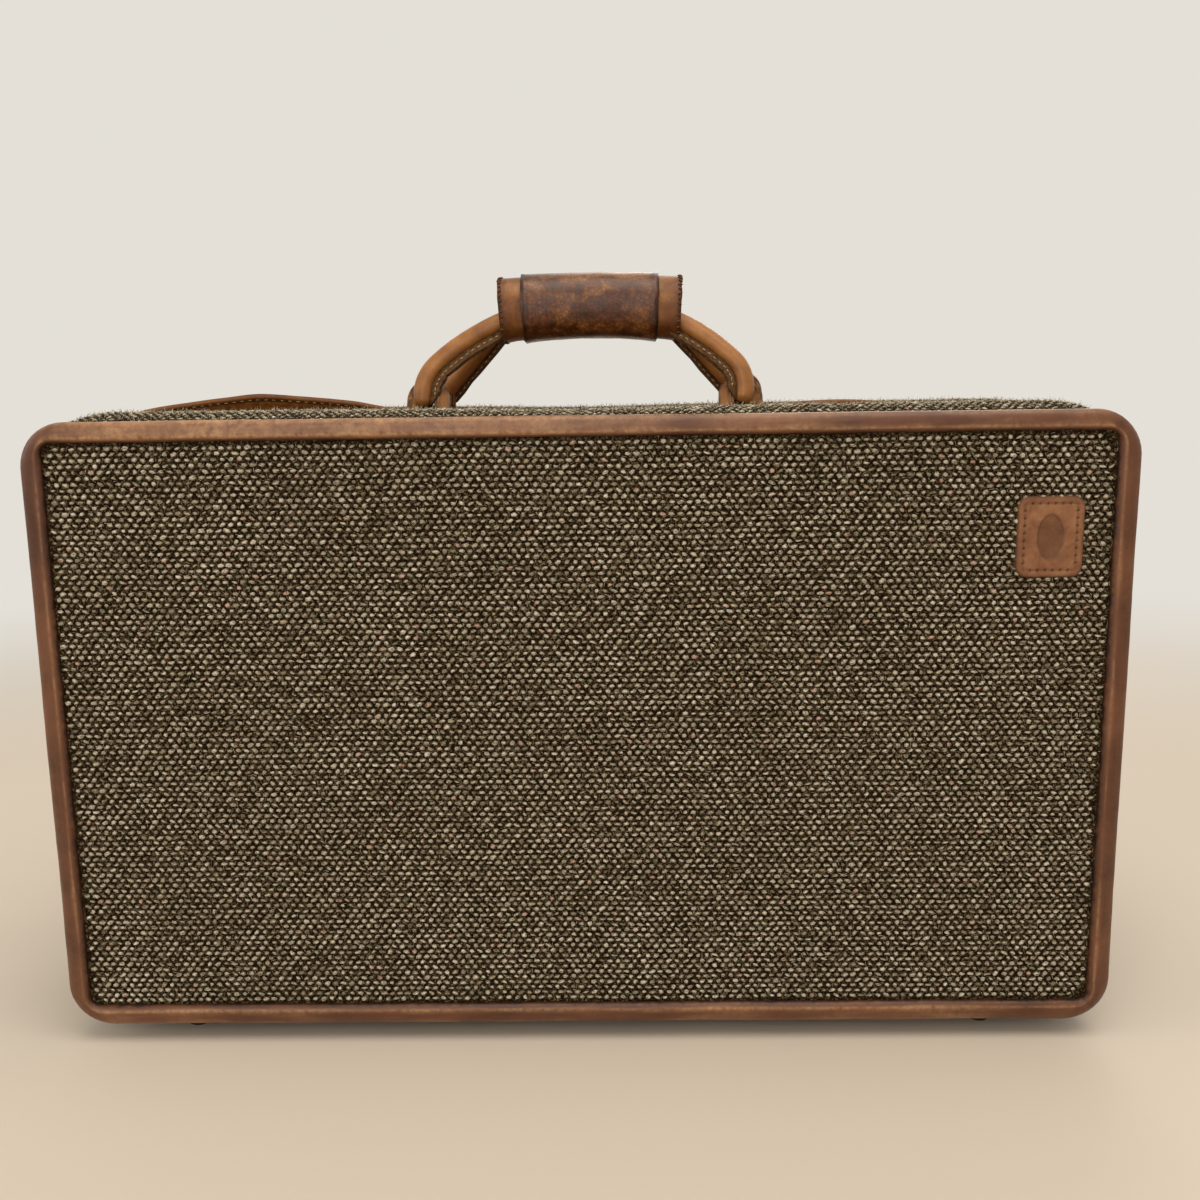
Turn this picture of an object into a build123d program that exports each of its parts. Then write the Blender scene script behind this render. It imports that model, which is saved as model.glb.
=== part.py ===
"""Tweed suitcase: two framed halves, hinged along the bottom and zipped round the other three sides.

X runs along the case, Y from the front face to the back and Z up. The origin is on the floor below the
middle of the case. Lengths are in millimetres.
"""

import os
from math import asin, cos, radians, sin, sqrt

from build123d import *

# The whole case, measured over the leather binding
case_width = 620
case_height = 360
case_depth = 190
corner_radius = 25
foot_height = 12

# The layers of each half, from the outside in
binding_band = 14
binding_depth = 15
binding_wall = 3
binding_round = 5.5
gusset_thick = 3
frame_wall = 4
tweed_thick = 2.5
panel_thick = 3
lining_thick = 1
lining_gap = 2.5
crown_rise = 5
crown_from = 30
crown_end_margin = 16
crown_clearance = 0.5

# The mouth between the halves and the zip in it
mouth_half = 5.5
trim_thick = 3
tape_thick = 0.8
tape_reach = 16
chain_width = 2.6
chain_thick = 3
chain_gap = 0.8
zip_end_above_binding = 40

# Handles, about their own middle
handle_x = 6
pivot_rise = 7
pivot_y = 18
strap_lean = 13.3
strap_r = 6
strap_top_y = 8
front_foot_x = 97.5
front_bend_r = 25
front_bow_r = 130
front_rise = 63.2
rear_foot_x = 95
rear_foot_rise = 5
rear_shoulder_x = 45
rear_shoulder_r = 42
rear_rise = 61.7
taper_rise = 9
eye_r = 4.4
eye_length = 7.8
pin_r = 1.6
pin_clearance = 0.08

# The leather wrap that joins the two handles
wrap_rise = 59
wrap_length = 110
band_length = 82
wrap_bend_r = 400
wrap_bore_y = 20.5
wrap_bore_z = 17.3
wrap_wall = 1.4
band_wall = 1.2
layer_gap = 0.1
wrap_pad_gap = 0.3
wrap_hinge_y = 14
wrap_snap_y = 10
wrap_slit = 0.3

# Leather arches that hold the handles, and what fastens them
arch_x = 95.3
arch_outer_r = 14.3
arch_thick = 3.4
arch_leg = 9
arch_width = 7.5
arch_lean = 36
arch_base_y = 20
tab_length = 13
tab_overlap = 1
tab_thick = 2.8
rivet_r = 2
rivet_head_r = 3.6
rivet_head = 1.2
rivet_burr = 1
plate_length = 60
plate_width = 14
plate_thick = 1.5
plate_inward = 3.5

# The flap over the zip
flap_root_y = 11
flap_edge_y = -10
flap_thick = 2
flap_gap = 0.4
flap_left_margin = 25
flap_right_margin = 35
flap_mid_share = 0.6
# share of half the case's width and how far the loose edge stands up there
flap_bulges = [
    (-0.806, 4.5),
    (-0.648, 12),
    (-0.484, 5.5),
    (-0.339, 1),
    (0, 0),
    (0.323, 1),
    (0.532, 4.3),
    (0.742, 2),
]

# Zip sliders and their pulls
slider_length = 12
slider_width = 8
slider_plate = 1.6
slider_clearance = 0.4
slider_post_length = 4
slider_from_end = 109
slider_round = 2
slider_half_space = 8
lug_length = 3
lug_width = 1.2
lug_height = 2.6
pull_lift = 0.1
pull_pin_r = 0.8
pull_eye_r = 1.5
pull_length = 20
pull_width = 5
pull_thick = 1.2

# Hinge along the bottom
hinge_end_gap = 40
hinge_knuckles = 18
hinge_leaf_width = 22
hinge_leaf = 1.2
hinge_barrel_r = 2.2
hinge_pin_r = 1
hinge_running = 0.06
knuckle_gap = 0.3
hinge_rivets = 6
hinge_rivet_r = 1.6
hinge_rivet_y = 16
hinge_rivet_head = 0.8

# Feet
foot_from_end = 68
foot_margin = 2
foot_top_r = 9
foot_bottom_r = 6.5
foot_screw_r = 2
foot_screw_head_r = 3.5
foot_screw_head = 2
foot_screw_inset = 2
foot_round = 1.5

# The patch on the front
patch_from_end = 46.7
patch_from_top = 70.5
patch_width = 39
patch_height = 46
patch_thick = 1.6
patch_round = 5
oval_width = 14.5
oval_height = 25
oval_depth = 0.5

# Inside
strap_x = 110
strap_width = 25
strap_thick = 1.5
strap_margin = 20
buckle_width = 34
buckle_height = 26
buckle_bar = 4
buckle_thick = 3
buckle_round = 3
strap_corner = 2
pocket_margin = 60
pocket_height = 190
pocket_round = 12
pocket_thick = 2.5
pocket_above_binding = 28

# Places worked out from those sizes
case_mid_z = foot_height + case_height / 2
case_top_z = foot_height + case_height
half_depth = case_depth / 2
gusset_inset = binding_wall
frame_inset = gusset_inset + gusset_thick
inner_inset = frame_inset + frame_wall
lining_inset = inner_inset + lining_gap
tweed_y = half_depth - binding_wall
panel_y = tweed_y - tweed_thick
board_y = panel_y - panel_thick
frame_end_y = mouth_half + trim_thick
deck_z = case_top_z - gusset_inset
deck_under_z = case_top_z - inner_inset
base_z = foot_height + gusset_inset
chain_inset = inner_inset + tape_thick / 2
chain_top_z = case_top_z - chain_inset + chain_thick / 2
chain_bottom_z = chain_top_z - chain_thick
hinge_z = base_z - hinge_leaf / 2
hinge_length = case_width - 2 * hinge_end_gap
pivot_z = deck_z + pivot_rise
wrap_z = pivot_z + wrap_rise
foot_x = case_width / 2 - foot_from_end
foot_y = half_depth - binding_depth - foot_top_r - foot_margin
slider_middle_x = slider_from_end - case_width / 2
zip_cut_height = zip_end_above_binding + foot_height

os.makedirs("parts", exist_ok=True)


def save(part, label):
    """Labels a finished piece and writes it to its own file."""
    part.label = label
    export_step(part, f"parts/{label}.step")


def upright(y):
    """The XZ plane at y, which extrudes towards the front."""
    return Plane.XZ.offset(-y)


def outline(inset):
    """The case's rounded outline, drawn that far inside the binding's outer edge."""
    return RectangleRounded(
        case_width - 2 * inset, case_height - 2 * inset, max(corner_radius - inset, 2)
    )


def layer(side, y_out, y_in, inset, hole=None):
    """A slab or ring of the case's outline between two distances from the middle plane."""
    near, far = sorted((side * y_out, side * y_in))
    with BuildPart() as made:
        with BuildSketch(upright(far)):
            with Locations((0, case_mid_z)):
                outline(inset)
                if hole is not None:
                    with Locations((0, 0)):
                        outline_cut(hole)
        extrude(amount=far - near)
    return made.part


def outline_cut(inset):
    """The same outline as a hole."""
    return RectangleRounded(
        case_width - 2 * inset,
        case_height - 2 * inset,
        max(corner_radius - inset, 2),
        mode=Mode.SUBTRACT,
    )


def outward(edge):
    """How far the middle of an edge lies inside the case's outline."""
    return min(
        case_width / 2 - abs(edge.center().X),
        case_height / 2 - abs(edge.center().Z - case_mid_z),
    )


def whole_case(height, from_z, upwards):
    """A block as wide and deep as the case, above or below a height, to cut pieces off there."""
    with BuildPart() as made:
        with Locations((0, 0, from_z)):
            Box(
                2 * case_width,
                2 * case_depth,
                height,
                align=(Align.CENTER, Align.CENTER, Align.MIN if upwards else Align.MAX),
            )
    return made.part


# The rivets that hold each arch, and the places of the feet, for one half
rivet_places = [
    (handle_x + hand * (arch_x + out * (arch_outer_r + tab_length / 2)), arch_base_y)
    for hand in (-1, 1)
    for out in (-1, 1)
]
hinge_rivet_places = [
    -hinge_length / 2 + (number + 0.5) * hinge_length / hinge_rivets
    for number in range(hinge_rivets)
]
pin_places = [handle_x + hand * arch_x for hand in (-1, 1)]

for half, side in (("front", -1), ("rear", 1)):
    # Frame: the bent wooden wall round the half
    with BuildPart() as frame:
        add(layer(side, panel_y, frame_end_y, frame_inset, inner_inset))
        with Locations(*[(x, side * y, case_top_z - frame_inset) for x, y in rivet_places]):
            Cylinder(rivet_r, 3 * frame_wall, mode=Mode.SUBTRACT)
        with Locations(*[(hand * foot_x, side * foot_y, base_z + gusset_thick) for hand in (-1, 1)]):
            Cylinder(foot_screw_r, 3 * frame_wall, mode=Mode.SUBTRACT)
        with Locations(*[(x, side * hinge_rivet_y, base_z + gusset_thick) for x in hinge_rivet_places]):
            Cylinder(hinge_rivet_r, 3 * frame_wall, mode=Mode.SUBTRACT)
    save(frame.part, f"{half}_frame")

    # Panel: the board that closes the frame
    with BuildPart() as panel:
        add(layer(side, panel_y, board_y, inner_inset))
    save(panel.part, f"{half}_panel")

    # Tweed over the face
    with BuildPart() as tweed_face:
        add(layer(side, tweed_y, panel_y, gusset_inset))
    save(tweed_face.part, f"{half}_tweed_face")

    # Tweed over the wall, padded to a low crown along the top
    with BuildPart() as gusset:
        add(layer(side, panel_y, frame_end_y, gusset_inset, frame_inset))
        crown_to = half_depth - binding_depth - crown_clearance
        crown_mid = (crown_to + crown_from) / 2
        crown_x = case_width / 2 - corner_radius - crown_end_margin
        with BuildSketch(Plane.YZ.offset(-crown_x)):
            with BuildLine():
                low = deck_z - gusset_thick / 2
                rise = ThreePointArc(
                    (side * crown_from, deck_z),
                    (side * crown_mid, deck_z + crown_rise),
                    (side * crown_to, deck_z),
                )
                Polyline(rise @ 1, (side * crown_to, low), (side * crown_from, low), rise @ 0)
            make_face()
        extrude(amount=2 * crown_x)
        with Locations(*[(x, side * y, deck_z) for x, y in rivet_places]):
            Cylinder(rivet_r, 3 * gusset_thick, mode=Mode.SUBTRACT)
        with Locations(*[(hand * foot_x, side * foot_y, base_z) for hand in (-1, 1)]):
            Cylinder(foot_screw_r, 3 * gusset_thick, mode=Mode.SUBTRACT)
        with Locations(*[(x, side * hinge_rivet_y, base_z) for x in hinge_rivet_places]):
            Cylinder(hinge_rivet_r, 3 * gusset_thick, mode=Mode.SUBTRACT)
    save(gusset.part, f"{half}_gusset")

    # Binding: the rolled leather edge, with a lip over the face and a skirt over the wall
    with BuildPart() as binding:
        add(layer(side, half_depth, tweed_y, 0, binding_band))
        add(layer(side, tweed_y, half_depth - binding_depth, 0, binding_wall))
        face_edges = binding.edges().filter_by_position(
            Axis.Y, side * half_depth - 0.01, side * half_depth + 0.01
        )
        rim = [edge for edge in face_edges if outward(edge) < 0.65 * binding_band]
        fillet(rim, binding_round)
        face_edges = binding.edges().filter_by_position(
            Axis.Y, side * half_depth - 0.01, side * half_depth + 0.01
        )
        inner = [edge for edge in face_edges if outward(edge) > 0.9 * binding_band]
        fillet(inner, binding_wall / 2)
    save(binding.part, f"{half}_binding")

    # Trim: the leather facing round the mouth
    with BuildPart() as trim:
        add(layer(side, frame_end_y, mouth_half, gusset_inset, inner_inset))
    save(trim.part, f"{half}_mouth_trim")

    # Zip tape and its row of teeth, on three sides
    with BuildPart() as tape:
        add(layer(side, tape_reach, chain_gap + chain_width, inner_inset, inner_inset + tape_thick))
        add(whole_case(zip_cut_height, 0, True), mode=Mode.SUBTRACT)
    save(tape.part, f"{half}_zip_tape")
    with BuildPart() as chain:
        outer_inset = chain_inset - chain_thick / 2
        add(layer(side, chain_gap + chain_width, chain_gap, outer_inset, outer_inset + chain_thick))
        add(whole_case(zip_cut_height, 0, True), mode=Mode.SUBTRACT)
    save(chain.part, f"{half}_zip_teeth")

    # Lining: a thin tray held against the panel
    with BuildPart() as lining:
        add(layer(side, board_y, board_y - lining_thick, lining_inset))
        add(layer(side, board_y, tape_reach + lining_gap, lining_inset, lining_inset + lining_thick))
    save(lining.part, f"{half}_lining")

    # Arches: leather straps bent over, leaning to the middle, with a flat tab at each foot
    with BuildPart() as arches:
        for middle in pin_places:
            leaning = Plane(
                origin=(middle, side * arch_base_y, deck_z),
                x_dir=(1, 0, 0),
                z_dir=(0, -cos(radians(arch_lean)), -side * sin(radians(arch_lean))),
            )
            with BuildSketch(leaning):
                with BuildLine():
                    inner_r = arch_outer_r - arch_thick
                    bow = ThreePointArc(
                        (arch_outer_r, arch_leg), (0, arch_leg + arch_outer_r), (-arch_outer_r, arch_leg)
                    )
                    hollow = ThreePointArc(
                        (-inner_r, arch_leg), (0, arch_leg + inner_r), (inner_r, arch_leg)
                    )
                    low = -arch_width
                    Polyline(bow @ 1, (-arch_outer_r, low), (-inner_r, low), hollow @ 0)
                    Polyline(hollow @ 1, (inner_r, low), (arch_outer_r, low), bow @ 0)
                make_face()
            extrude(amount=arch_width / 2, both=True)
        add(whole_case(3 * arch_width, deck_z, False), mode=Mode.SUBTRACT)
        with Locations(*[(x, side * y, deck_z) for x, y in rivet_places]):
            Box(
                tab_length + 2 * tab_overlap,
                arch_width + tab_overlap,
                tab_thick,
                align=(Align.CENTER, Align.CENTER, Align.MIN),
            )
        with Locations(*[(x, side * y, deck_z) for x, y in rivet_places]):
            Cylinder(rivet_r, 4 * tab_thick, mode=Mode.SUBTRACT)
        with Locations(*[Location((x, side * pivot_y, pivot_z), (0, 90, 0)) for x in pin_places]):
            Cylinder(pin_r, 3 * arch_outer_r, mode=Mode.SUBTRACT)
    save(arches.part, f"{half}_handle_arches")

    # Pins: the metal bars on which the handle straps turn
    with BuildPart() as pins:
        with Locations(*[Location((x, side * pivot_y, pivot_z), (0, 90, 0)) for x in pin_places]):
            Cylinder(pin_r, 2 * arch_outer_r)
    save(pins.part, f"{half}_handle_pins")

    # Plates inside the wall, under the arches
    with BuildPart() as plates:
        plate_y = side * (arch_base_y + plate_inward)
        with Locations(*[(x, plate_y, deck_under_z) for x in pin_places]):
            Box(
                plate_length,
                plate_width,
                plate_thick,
                align=(Align.CENTER, Align.CENTER, Align.MAX),
            )
        with Locations(*[(x, side * y, deck_under_z) for x, y in rivet_places]):
            Cylinder(rivet_r, 3 * plate_thick, mode=Mode.SUBTRACT)
    save(plates.part, f"{half}_handle_plates")

    # Rivets through tab, tweed, frame and plate
    with BuildPart() as rivets:
        top = deck_z + tab_thick
        with Locations(*[(x, side * y, top) for x, y in rivet_places]):
            Cylinder(rivet_head_r, rivet_head, align=(Align.CENTER, Align.CENTER, Align.MIN))
            Cylinder(
                rivet_r,
                top - deck_under_z + plate_thick,
                align=(Align.CENTER, Align.CENTER, Align.MAX),
            )
        with Locations(*[(x, side * y, deck_under_z - plate_thick) for x, y in rivet_places]):
            Cylinder(
                rivet_r + rivet_burr,
                rivet_head / 2,
                align=(Align.CENTER, Align.CENTER, Align.MAX),
            )
    save(rivets.part, f"{half}_handle_rivets")

    # Feet and the screws that hold them
    with BuildPart() as feet:
        with Locations(*[(hand * foot_x, side * foot_y, 0) for hand in (-1, 1)]):
            Cone(
                foot_bottom_r,
                foot_top_r,
                base_z,
                align=(Align.CENTER, Align.CENTER, Align.MIN),
            )
        rims = feet.edges().filter_by_position(Axis.Z, -0.01, 0.01)
        fillet(rims, foot_round)
        with Locations(*[(hand * foot_x, side * foot_y, 0) for hand in (-1, 1)]):
            Cylinder(foot_screw_r, 3 * base_z, mode=Mode.SUBTRACT)
            Cylinder(
                foot_screw_head_r, 2 * (foot_screw_inset + foot_screw_head), mode=Mode.SUBTRACT
            )
    save(feet.part, f"{half}_feet")
    with BuildPart() as foot_screws:
        with Locations(*[(hand * foot_x, side * foot_y, foot_screw_inset) for hand in (-1, 1)]):
            Cylinder(
                foot_screw_head_r, foot_screw_head, align=(Align.CENTER, Align.CENTER, Align.MIN)
            )
            Cylinder(
                foot_screw_r,
                base_z + gusset_thick + frame_wall - foot_screw_inset,
                align=(Align.CENTER, Align.CENTER, Align.MIN),
            )
    save(foot_screws.part, f"{half}_foot_screws")

    # Hinge leaf with its share of the knuckles
    pitch = hinge_length / hinge_knuckles
    first = 0 if side < 0 else 1
    with BuildPart() as leaf:
        with Locations((0, side * (hinge_barrel_r + knuckle_gap), hinge_z)):
            Box(
                hinge_length,
                hinge_leaf_width - hinge_barrel_r - knuckle_gap,
                hinge_leaf,
                align=(Align.CENTER, Align.MIN if side > 0 else Align.MAX, Align.CENTER),
            )
        for number in range(first, hinge_knuckles, 2):
            start = -hinge_length / 2 + number * pitch
            with Locations((start + pitch / 2, 0, hinge_z)):
                Box(
                    pitch - knuckle_gap,
                    hinge_barrel_r + knuckle_gap + hinge_leaf,
                    hinge_leaf,
                    align=(Align.CENTER, Align.MIN if side > 0 else Align.MAX, Align.CENTER),
                )
            with Locations(Location((start + pitch / 2, 0, hinge_z), (0, 90, 0))):
                Cylinder(hinge_barrel_r, pitch - knuckle_gap)
        with Locations(Location((0, 0, hinge_z), (0, 90, 0))):
            Cylinder(hinge_pin_r + hinge_running, 2 * hinge_length, mode=Mode.SUBTRACT)
        with Locations(*[(x, side * hinge_rivet_y, hinge_z) for x in hinge_rivet_places]):
            Cylinder(hinge_rivet_r, 3 * hinge_leaf, mode=Mode.SUBTRACT)
    save(leaf.part, f"{half}_hinge_leaf")
    with BuildPart() as leaf_rivets:
        with Locations(*[(x, side * hinge_rivet_y, base_z - hinge_leaf) for x in hinge_rivet_places]):
            Cylinder(
                hinge_rivet_r,
                hinge_leaf + gusset_thick + frame_wall,
                align=(Align.CENTER, Align.CENTER, Align.MIN),
            )
            Cylinder(
                2 * hinge_rivet_r, hinge_rivet_head, align=(Align.CENTER, Align.CENTER, Align.MAX)
            )
    save(leaf_rivets.part, f"{half}_hinge_rivets")

# Hinge pin
with BuildPart() as hinge_pin:
    with Locations(Location((0, 0, hinge_z), (0, 90, 0))):
        Cylinder(hinge_pin_r, hinge_length)
save(hinge_pin.part, "hinge_pin")


def strap_plane(side):
    """The leaning plane of a handle's strap, with Y up the strap and its origin level with the pivot."""
    root_y = strap_top_y + front_rise * sin(radians(strap_lean))
    up = Vector(0, -side * sin(radians(strap_lean)), cos(radians(strap_lean)))
    across = Vector(1, 0, 0)
    return Plane(origin=(handle_x, side * root_y, pivot_z), x_dir=across, z_dir=across.cross(up))


def front_lines():
    """Half of the front strap's middle line: straight, a tight bend, then a wide bow to the top."""
    bow_mid = front_rise - front_bow_r
    bend_x = front_foot_x - front_bend_r
    bend_v = bow_mid + sqrt((front_bow_r - front_bend_r) ** 2 - bend_x**2)
    turn = asin((bend_v - bow_mid) / (front_bow_r - front_bend_r))
    bend_mid = (bend_x + front_bend_r * cos(turn / 2), bend_v + front_bend_r * sin(turn / 2))
    meet = (front_bow_r * cos(turn), bow_mid + front_bow_r * sin(turn))
    over = (turn + radians(90)) / 2
    bow_point = (front_bow_r * cos(over), bow_mid + front_bow_r * sin(over))
    return (front_foot_x, bend_v), bend_mid, meet, bow_point, (0, front_rise)


def mirrored(point):
    """The same point on the other hand."""
    return (-point[0], point[1])


def draw_strap(side):
    """Draws a strap's whole middle line inside the open BuildLine."""
    if side < 0:
        foot, bend_mid, meet, bow_point, top = front_lines()
        start = (front_foot_x, taper_rise)
        Line(start, foot)
        ThreePointArc(foot, bend_mid, meet)
        ThreePointArc(meet, top, mirrored(meet))
        ThreePointArc(mirrored(meet), mirrored(bend_mid), mirrored(foot))
        Line(mirrored(foot), mirrored(start))
    else:
        run = rear_foot_x - rear_shoulder_x
        climb = rear_rise - rear_foot_rise
        share = (taper_rise - rear_foot_rise) / climb
        start = (rear_foot_x - share * run, taper_rise)
        FilletPolyline(
            start,
            (rear_shoulder_x, rear_rise),
            (-rear_shoulder_x, rear_rise),
            mirrored(start),
            radius=rear_shoulder_r,
        )


def strap_path(side):
    """A strap's middle line in its leaning plane."""
    with BuildLine(strap_plane(side)) as middle_line:
        draw_strap(side)
    return middle_line.wire()


def strap_tube(side, radius):
    """The round part of a strap, or the space for it."""
    path = strap_path(side)
    with BuildPart() as made:
        with BuildSketch(Plane(origin=path @ 0, z_dir=path % 0)):
            Circle(radius)
        sweep(path=path)
    return made.part


for half, side in (("front", -1), ("rear", 1)):
    plane = strap_plane(side)
    path = strap_path(side)
    foot_x_here = front_foot_x if side < 0 else rear_foot_x
    with BuildPart() as handle:
        add(strap_tube(side, strap_r))
        # the tapered end of each strap, down to its eye on the pin
        for hand, at in ((1, 0), (-1, 1)):
            eye = Vector(handle_x + hand * foot_x_here, side * pivot_y, pivot_z)
            direction = (path % at) * (1 if at == 0 else -1)
            with BuildSketch(Plane(origin=path @ at, x_dir=(1, 0, 0), z_dir=direction)):
                Circle(strap_r)
            with BuildSketch(Plane(origin=eye, x_dir=(1, 0, 0), z_dir=plane.y_dir)):
                Circle(eye_r)
            loft()
            with Locations(Location(eye, (0, 90, 0))):
                Cylinder(eye_r, eye_length)
        with Locations(*[Location((x, side * pivot_y, pivot_z), (0, 90, 0)) for x in pin_places]):
            Cylinder(pin_r + pin_clearance, 2 * arch_outer_r, mode=Mode.SUBTRACT)
    save(handle.part, f"{half}_handle_strap")


def wrap_point(along):
    """A point on the wrap's bent middle line."""
    angle = along / wrap_bend_r
    return (handle_x + wrap_bend_r * sin(angle), 0, wrap_z - wrap_bend_r * (1 - cos(angle)))


def wrap_path(length):
    """The wrap's middle line, bent a little like the grips in it."""
    return ThreePointArc(wrap_point(-length / 2), wrap_point(0), wrap_point(length / 2))


def wrap_shell(length, bore_y, bore_z, wall, behind):
    """One wall of the wrap: the part behind the slits, or the part over the top and the front."""
    path = wrap_path(length)
    with BuildPart() as made:
        with BuildSketch(Plane(origin=path @ 0, x_dir=(0, 1, 0), z_dir=path % 0)) as section:
            Ellipse(bore_y + wall, bore_z + wall)
            Ellipse(bore_y, bore_z, mode=Mode.SUBTRACT)
            with BuildSketch(mode=Mode.PRIVATE) as keep:
                with BuildLine():
                    big = 3 * bore_y
                    upper = wrap_hinge_y + (wrap_slit if behind else 0)
                    lower = wrap_snap_y + (wrap_slit if behind else 0)
                    Polyline(
                        (upper, 0),
                        (upper, -big),
                        (big, -big),
                        (big, big),
                        (lower, big),
                        (lower, 0),
                        close=True,
                    )
                make_face()
            add(keep.sketch, mode=Mode.INTERSECT if behind else Mode.SUBTRACT)
        sweep(path=path)
    return made.part


# Wrap: the back of the sleeve stays on the rear strap, and the front of it swings up
with BuildPart() as wrap_back:
    add(wrap_shell(wrap_length, wrap_bore_y, wrap_bore_z, wrap_wall, True))
save(wrap_back.part, "wrap_back")
with BuildPart() as wrap_flap:
    add(wrap_shell(wrap_length, wrap_bore_y, wrap_bore_z, wrap_wall, False))
save(wrap_flap.part, "wrap_flap")
band_bore_y = wrap_bore_y + wrap_wall + layer_gap
band_bore_z = wrap_bore_z + wrap_wall + layer_gap
with BuildPart() as band_back:
    add(wrap_shell(band_length, band_bore_y, band_bore_z, band_wall, True))
save(band_back.part, "wrap_band_back")
with BuildPart() as band_front:
    add(wrap_shell(band_length, band_bore_y, band_bore_z, band_wall, False))
save(band_front.part, "wrap_band_front")

# Padding behind the rear strap, which keeps the wrap round
with BuildPart() as wrap_pad:
    path = wrap_path(wrap_length - 2 * wrap_wall)
    with BuildSketch(Plane(origin=path @ 0, x_dir=(0, 1, 0), z_dir=path % 0)):
        Ellipse(wrap_bore_y - wrap_pad_gap, wrap_bore_z - wrap_pad_gap)
        with Locations((wrap_snap_y - 2 * wrap_bore_y, 0)):
            Rectangle(4 * wrap_bore_y, 4 * wrap_bore_z, mode=Mode.SUBTRACT)
    sweep(path=path)
    add(strap_tube(1, strap_r + wrap_pad_gap), mode=Mode.SUBTRACT)
save(wrap_pad.part, "wrap_pad")

# Flap over the zip: sewn down behind it, with a loose front edge that stands up where it has buckled
with BuildPart() as zip_flap:
    flap_mid_y = (flap_root_y + flap_edge_y) / 2
    for y, share in ((flap_root_y, 0), (flap_mid_y, flap_mid_share), (flap_edge_y, 1)):
        with BuildSketch(upright(y)):
            with BuildLine():
                low = deck_z + flap_gap
                points = [(flap_left_margin - case_width / 2, low)]
                points += [(x * case_width / 2, low + share * rise) for x, rise in flap_bulges]
                points += [(case_width / 2 - flap_right_margin, low)]
                under = Spline(*points)
                over = Spline(*[(x, z + flap_thick) for x, z in points])
                Line(under @ 0, over @ 0)
                Line(under @ 1, over @ 1)
            make_face()
    loft()
save(zip_flap.part, "zip_flap")

# Zip sliders with their lugs, and the pulls that turn on them
for name, hand in (("left", -1), ("right", 1)):
    middle = slider_middle_x + hand * slider_half_space
    top_z = chain_top_z + slider_clearance
    low_z = chain_bottom_z - slider_clearance
    pull_z = top_z + slider_plate + pull_eye_r + pull_lift
    lug_y = slider_width / 2 - lug_width / 2
    with BuildPart() as slider:
        for plate_z, place in ((top_z, Align.MIN), (low_z, Align.MAX)):
            with Locations((middle, 0, plate_z)):
                Box(
                    slider_length,
                    slider_width,
                    slider_plate,
                    align=(Align.CENTER, Align.CENTER, place),
                )
        fillet(slider.edges().filter_by(Axis.Z), slider_round)
        with Locations((middle, 0, low_z)):
            Box(
                slider_post_length,
                2 * chain_gap - slider_clearance,
                top_z - low_z,
                align=(Align.CENTER, Align.CENTER, Align.MIN),
            )
        with Locations(*[(middle, end * lug_y, top_z + slider_plate) for end in (-1, 1)]):
            Box(lug_length, lug_width, lug_height, align=(Align.CENTER, Align.CENTER, Align.MIN))
        with Locations(Location((middle, 0, pull_z), (90, 0, 0))):
            Cylinder(pull_pin_r, slider_width - lug_width)
    save(slider.part, f"zip_slider_{name}")

    with BuildPart() as pull:
        with Locations(Location((middle, 0, pull_z), (90, 0, 0))):
            Cylinder(pull_eye_r, pull_width)
        with Locations((middle + hand * (pull_length / 2), 0, pull_z)):
            Box(pull_length, pull_width, pull_thick)
        with Locations(Location((middle, 0, pull_z), (90, 0, 0))):
            Cylinder(pull_pin_r + pin_clearance, 2 * pull_width, mode=Mode.SUBTRACT)
    save(pull.part, f"zip_pull_{name}")

# Leather patch on the front, with a bare oval recess
with BuildPart() as patch:
    with BuildSketch(upright(-tweed_y)):
        patch_place = (case_width / 2 - patch_from_end, case_top_z - patch_from_top)
        with Locations(patch_place):
            RectangleRounded(patch_width, patch_height, patch_round)
    extrude(amount=patch_thick)
    with BuildSketch(upright(-tweed_y - patch_thick + oval_depth)):
        with Locations(patch_place):
            Ellipse(oval_width / 2, oval_height / 2)
    extrude(amount=oval_depth, mode=Mode.SUBTRACT)
save(patch.part, "front_patch")

# Packing straps across the rear half, with their buckles
strap_y = board_y - lining_thick
strap_low = foot_height + lining_inset + lining_thick + strap_margin
strap_high = case_top_z - lining_inset - lining_thick - strap_margin
with BuildPart() as straps:
    for hand in (-1, 1):
        with BuildSketch(upright(strap_y)):
            with Locations((hand * strap_x, (strap_low + strap_high) / 2)):
                RectangleRounded(strap_width, strap_high - strap_low, strap_corner)
        extrude(amount=strap_thick)
save(straps.part, "packing_straps")
with BuildPart() as buckles:
    for hand in (-1, 1):
        with BuildSketch(upright(strap_y - strap_thick)):
            with Locations((hand * strap_x, case_mid_z)):
                RectangleRounded(buckle_width, buckle_height, buckle_round)
                for end in (-1, 1):
                    with Locations((0, end * (buckle_height - buckle_bar) / 4)):
                        Rectangle(
                            buckle_width - 2 * buckle_bar,
                            (buckle_height - 3 * buckle_bar) / 2,
                            mode=Mode.SUBTRACT,
                        )
        extrude(amount=buckle_thick)
save(buckles.part, "strap_buckles")

# Pocket inside the lid
with BuildPart() as pocket:
    with BuildSketch(upright(-strap_y + pocket_thick)):
        pocket_z = foot_height + lining_inset + pocket_above_binding + pocket_height / 2
        with Locations((0, pocket_z)):
            RectangleRounded(case_width - 2 * pocket_margin, pocket_height, pocket_round)
    extrude(amount=pocket_thick)
save(pocket.part, "lid_pocket")
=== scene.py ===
from math import acos, asin, ceil, cos, exp, pi, radians, sin, sqrt

import bpy
import bmesh
from mathutils import Matrix, Vector, noise


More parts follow.
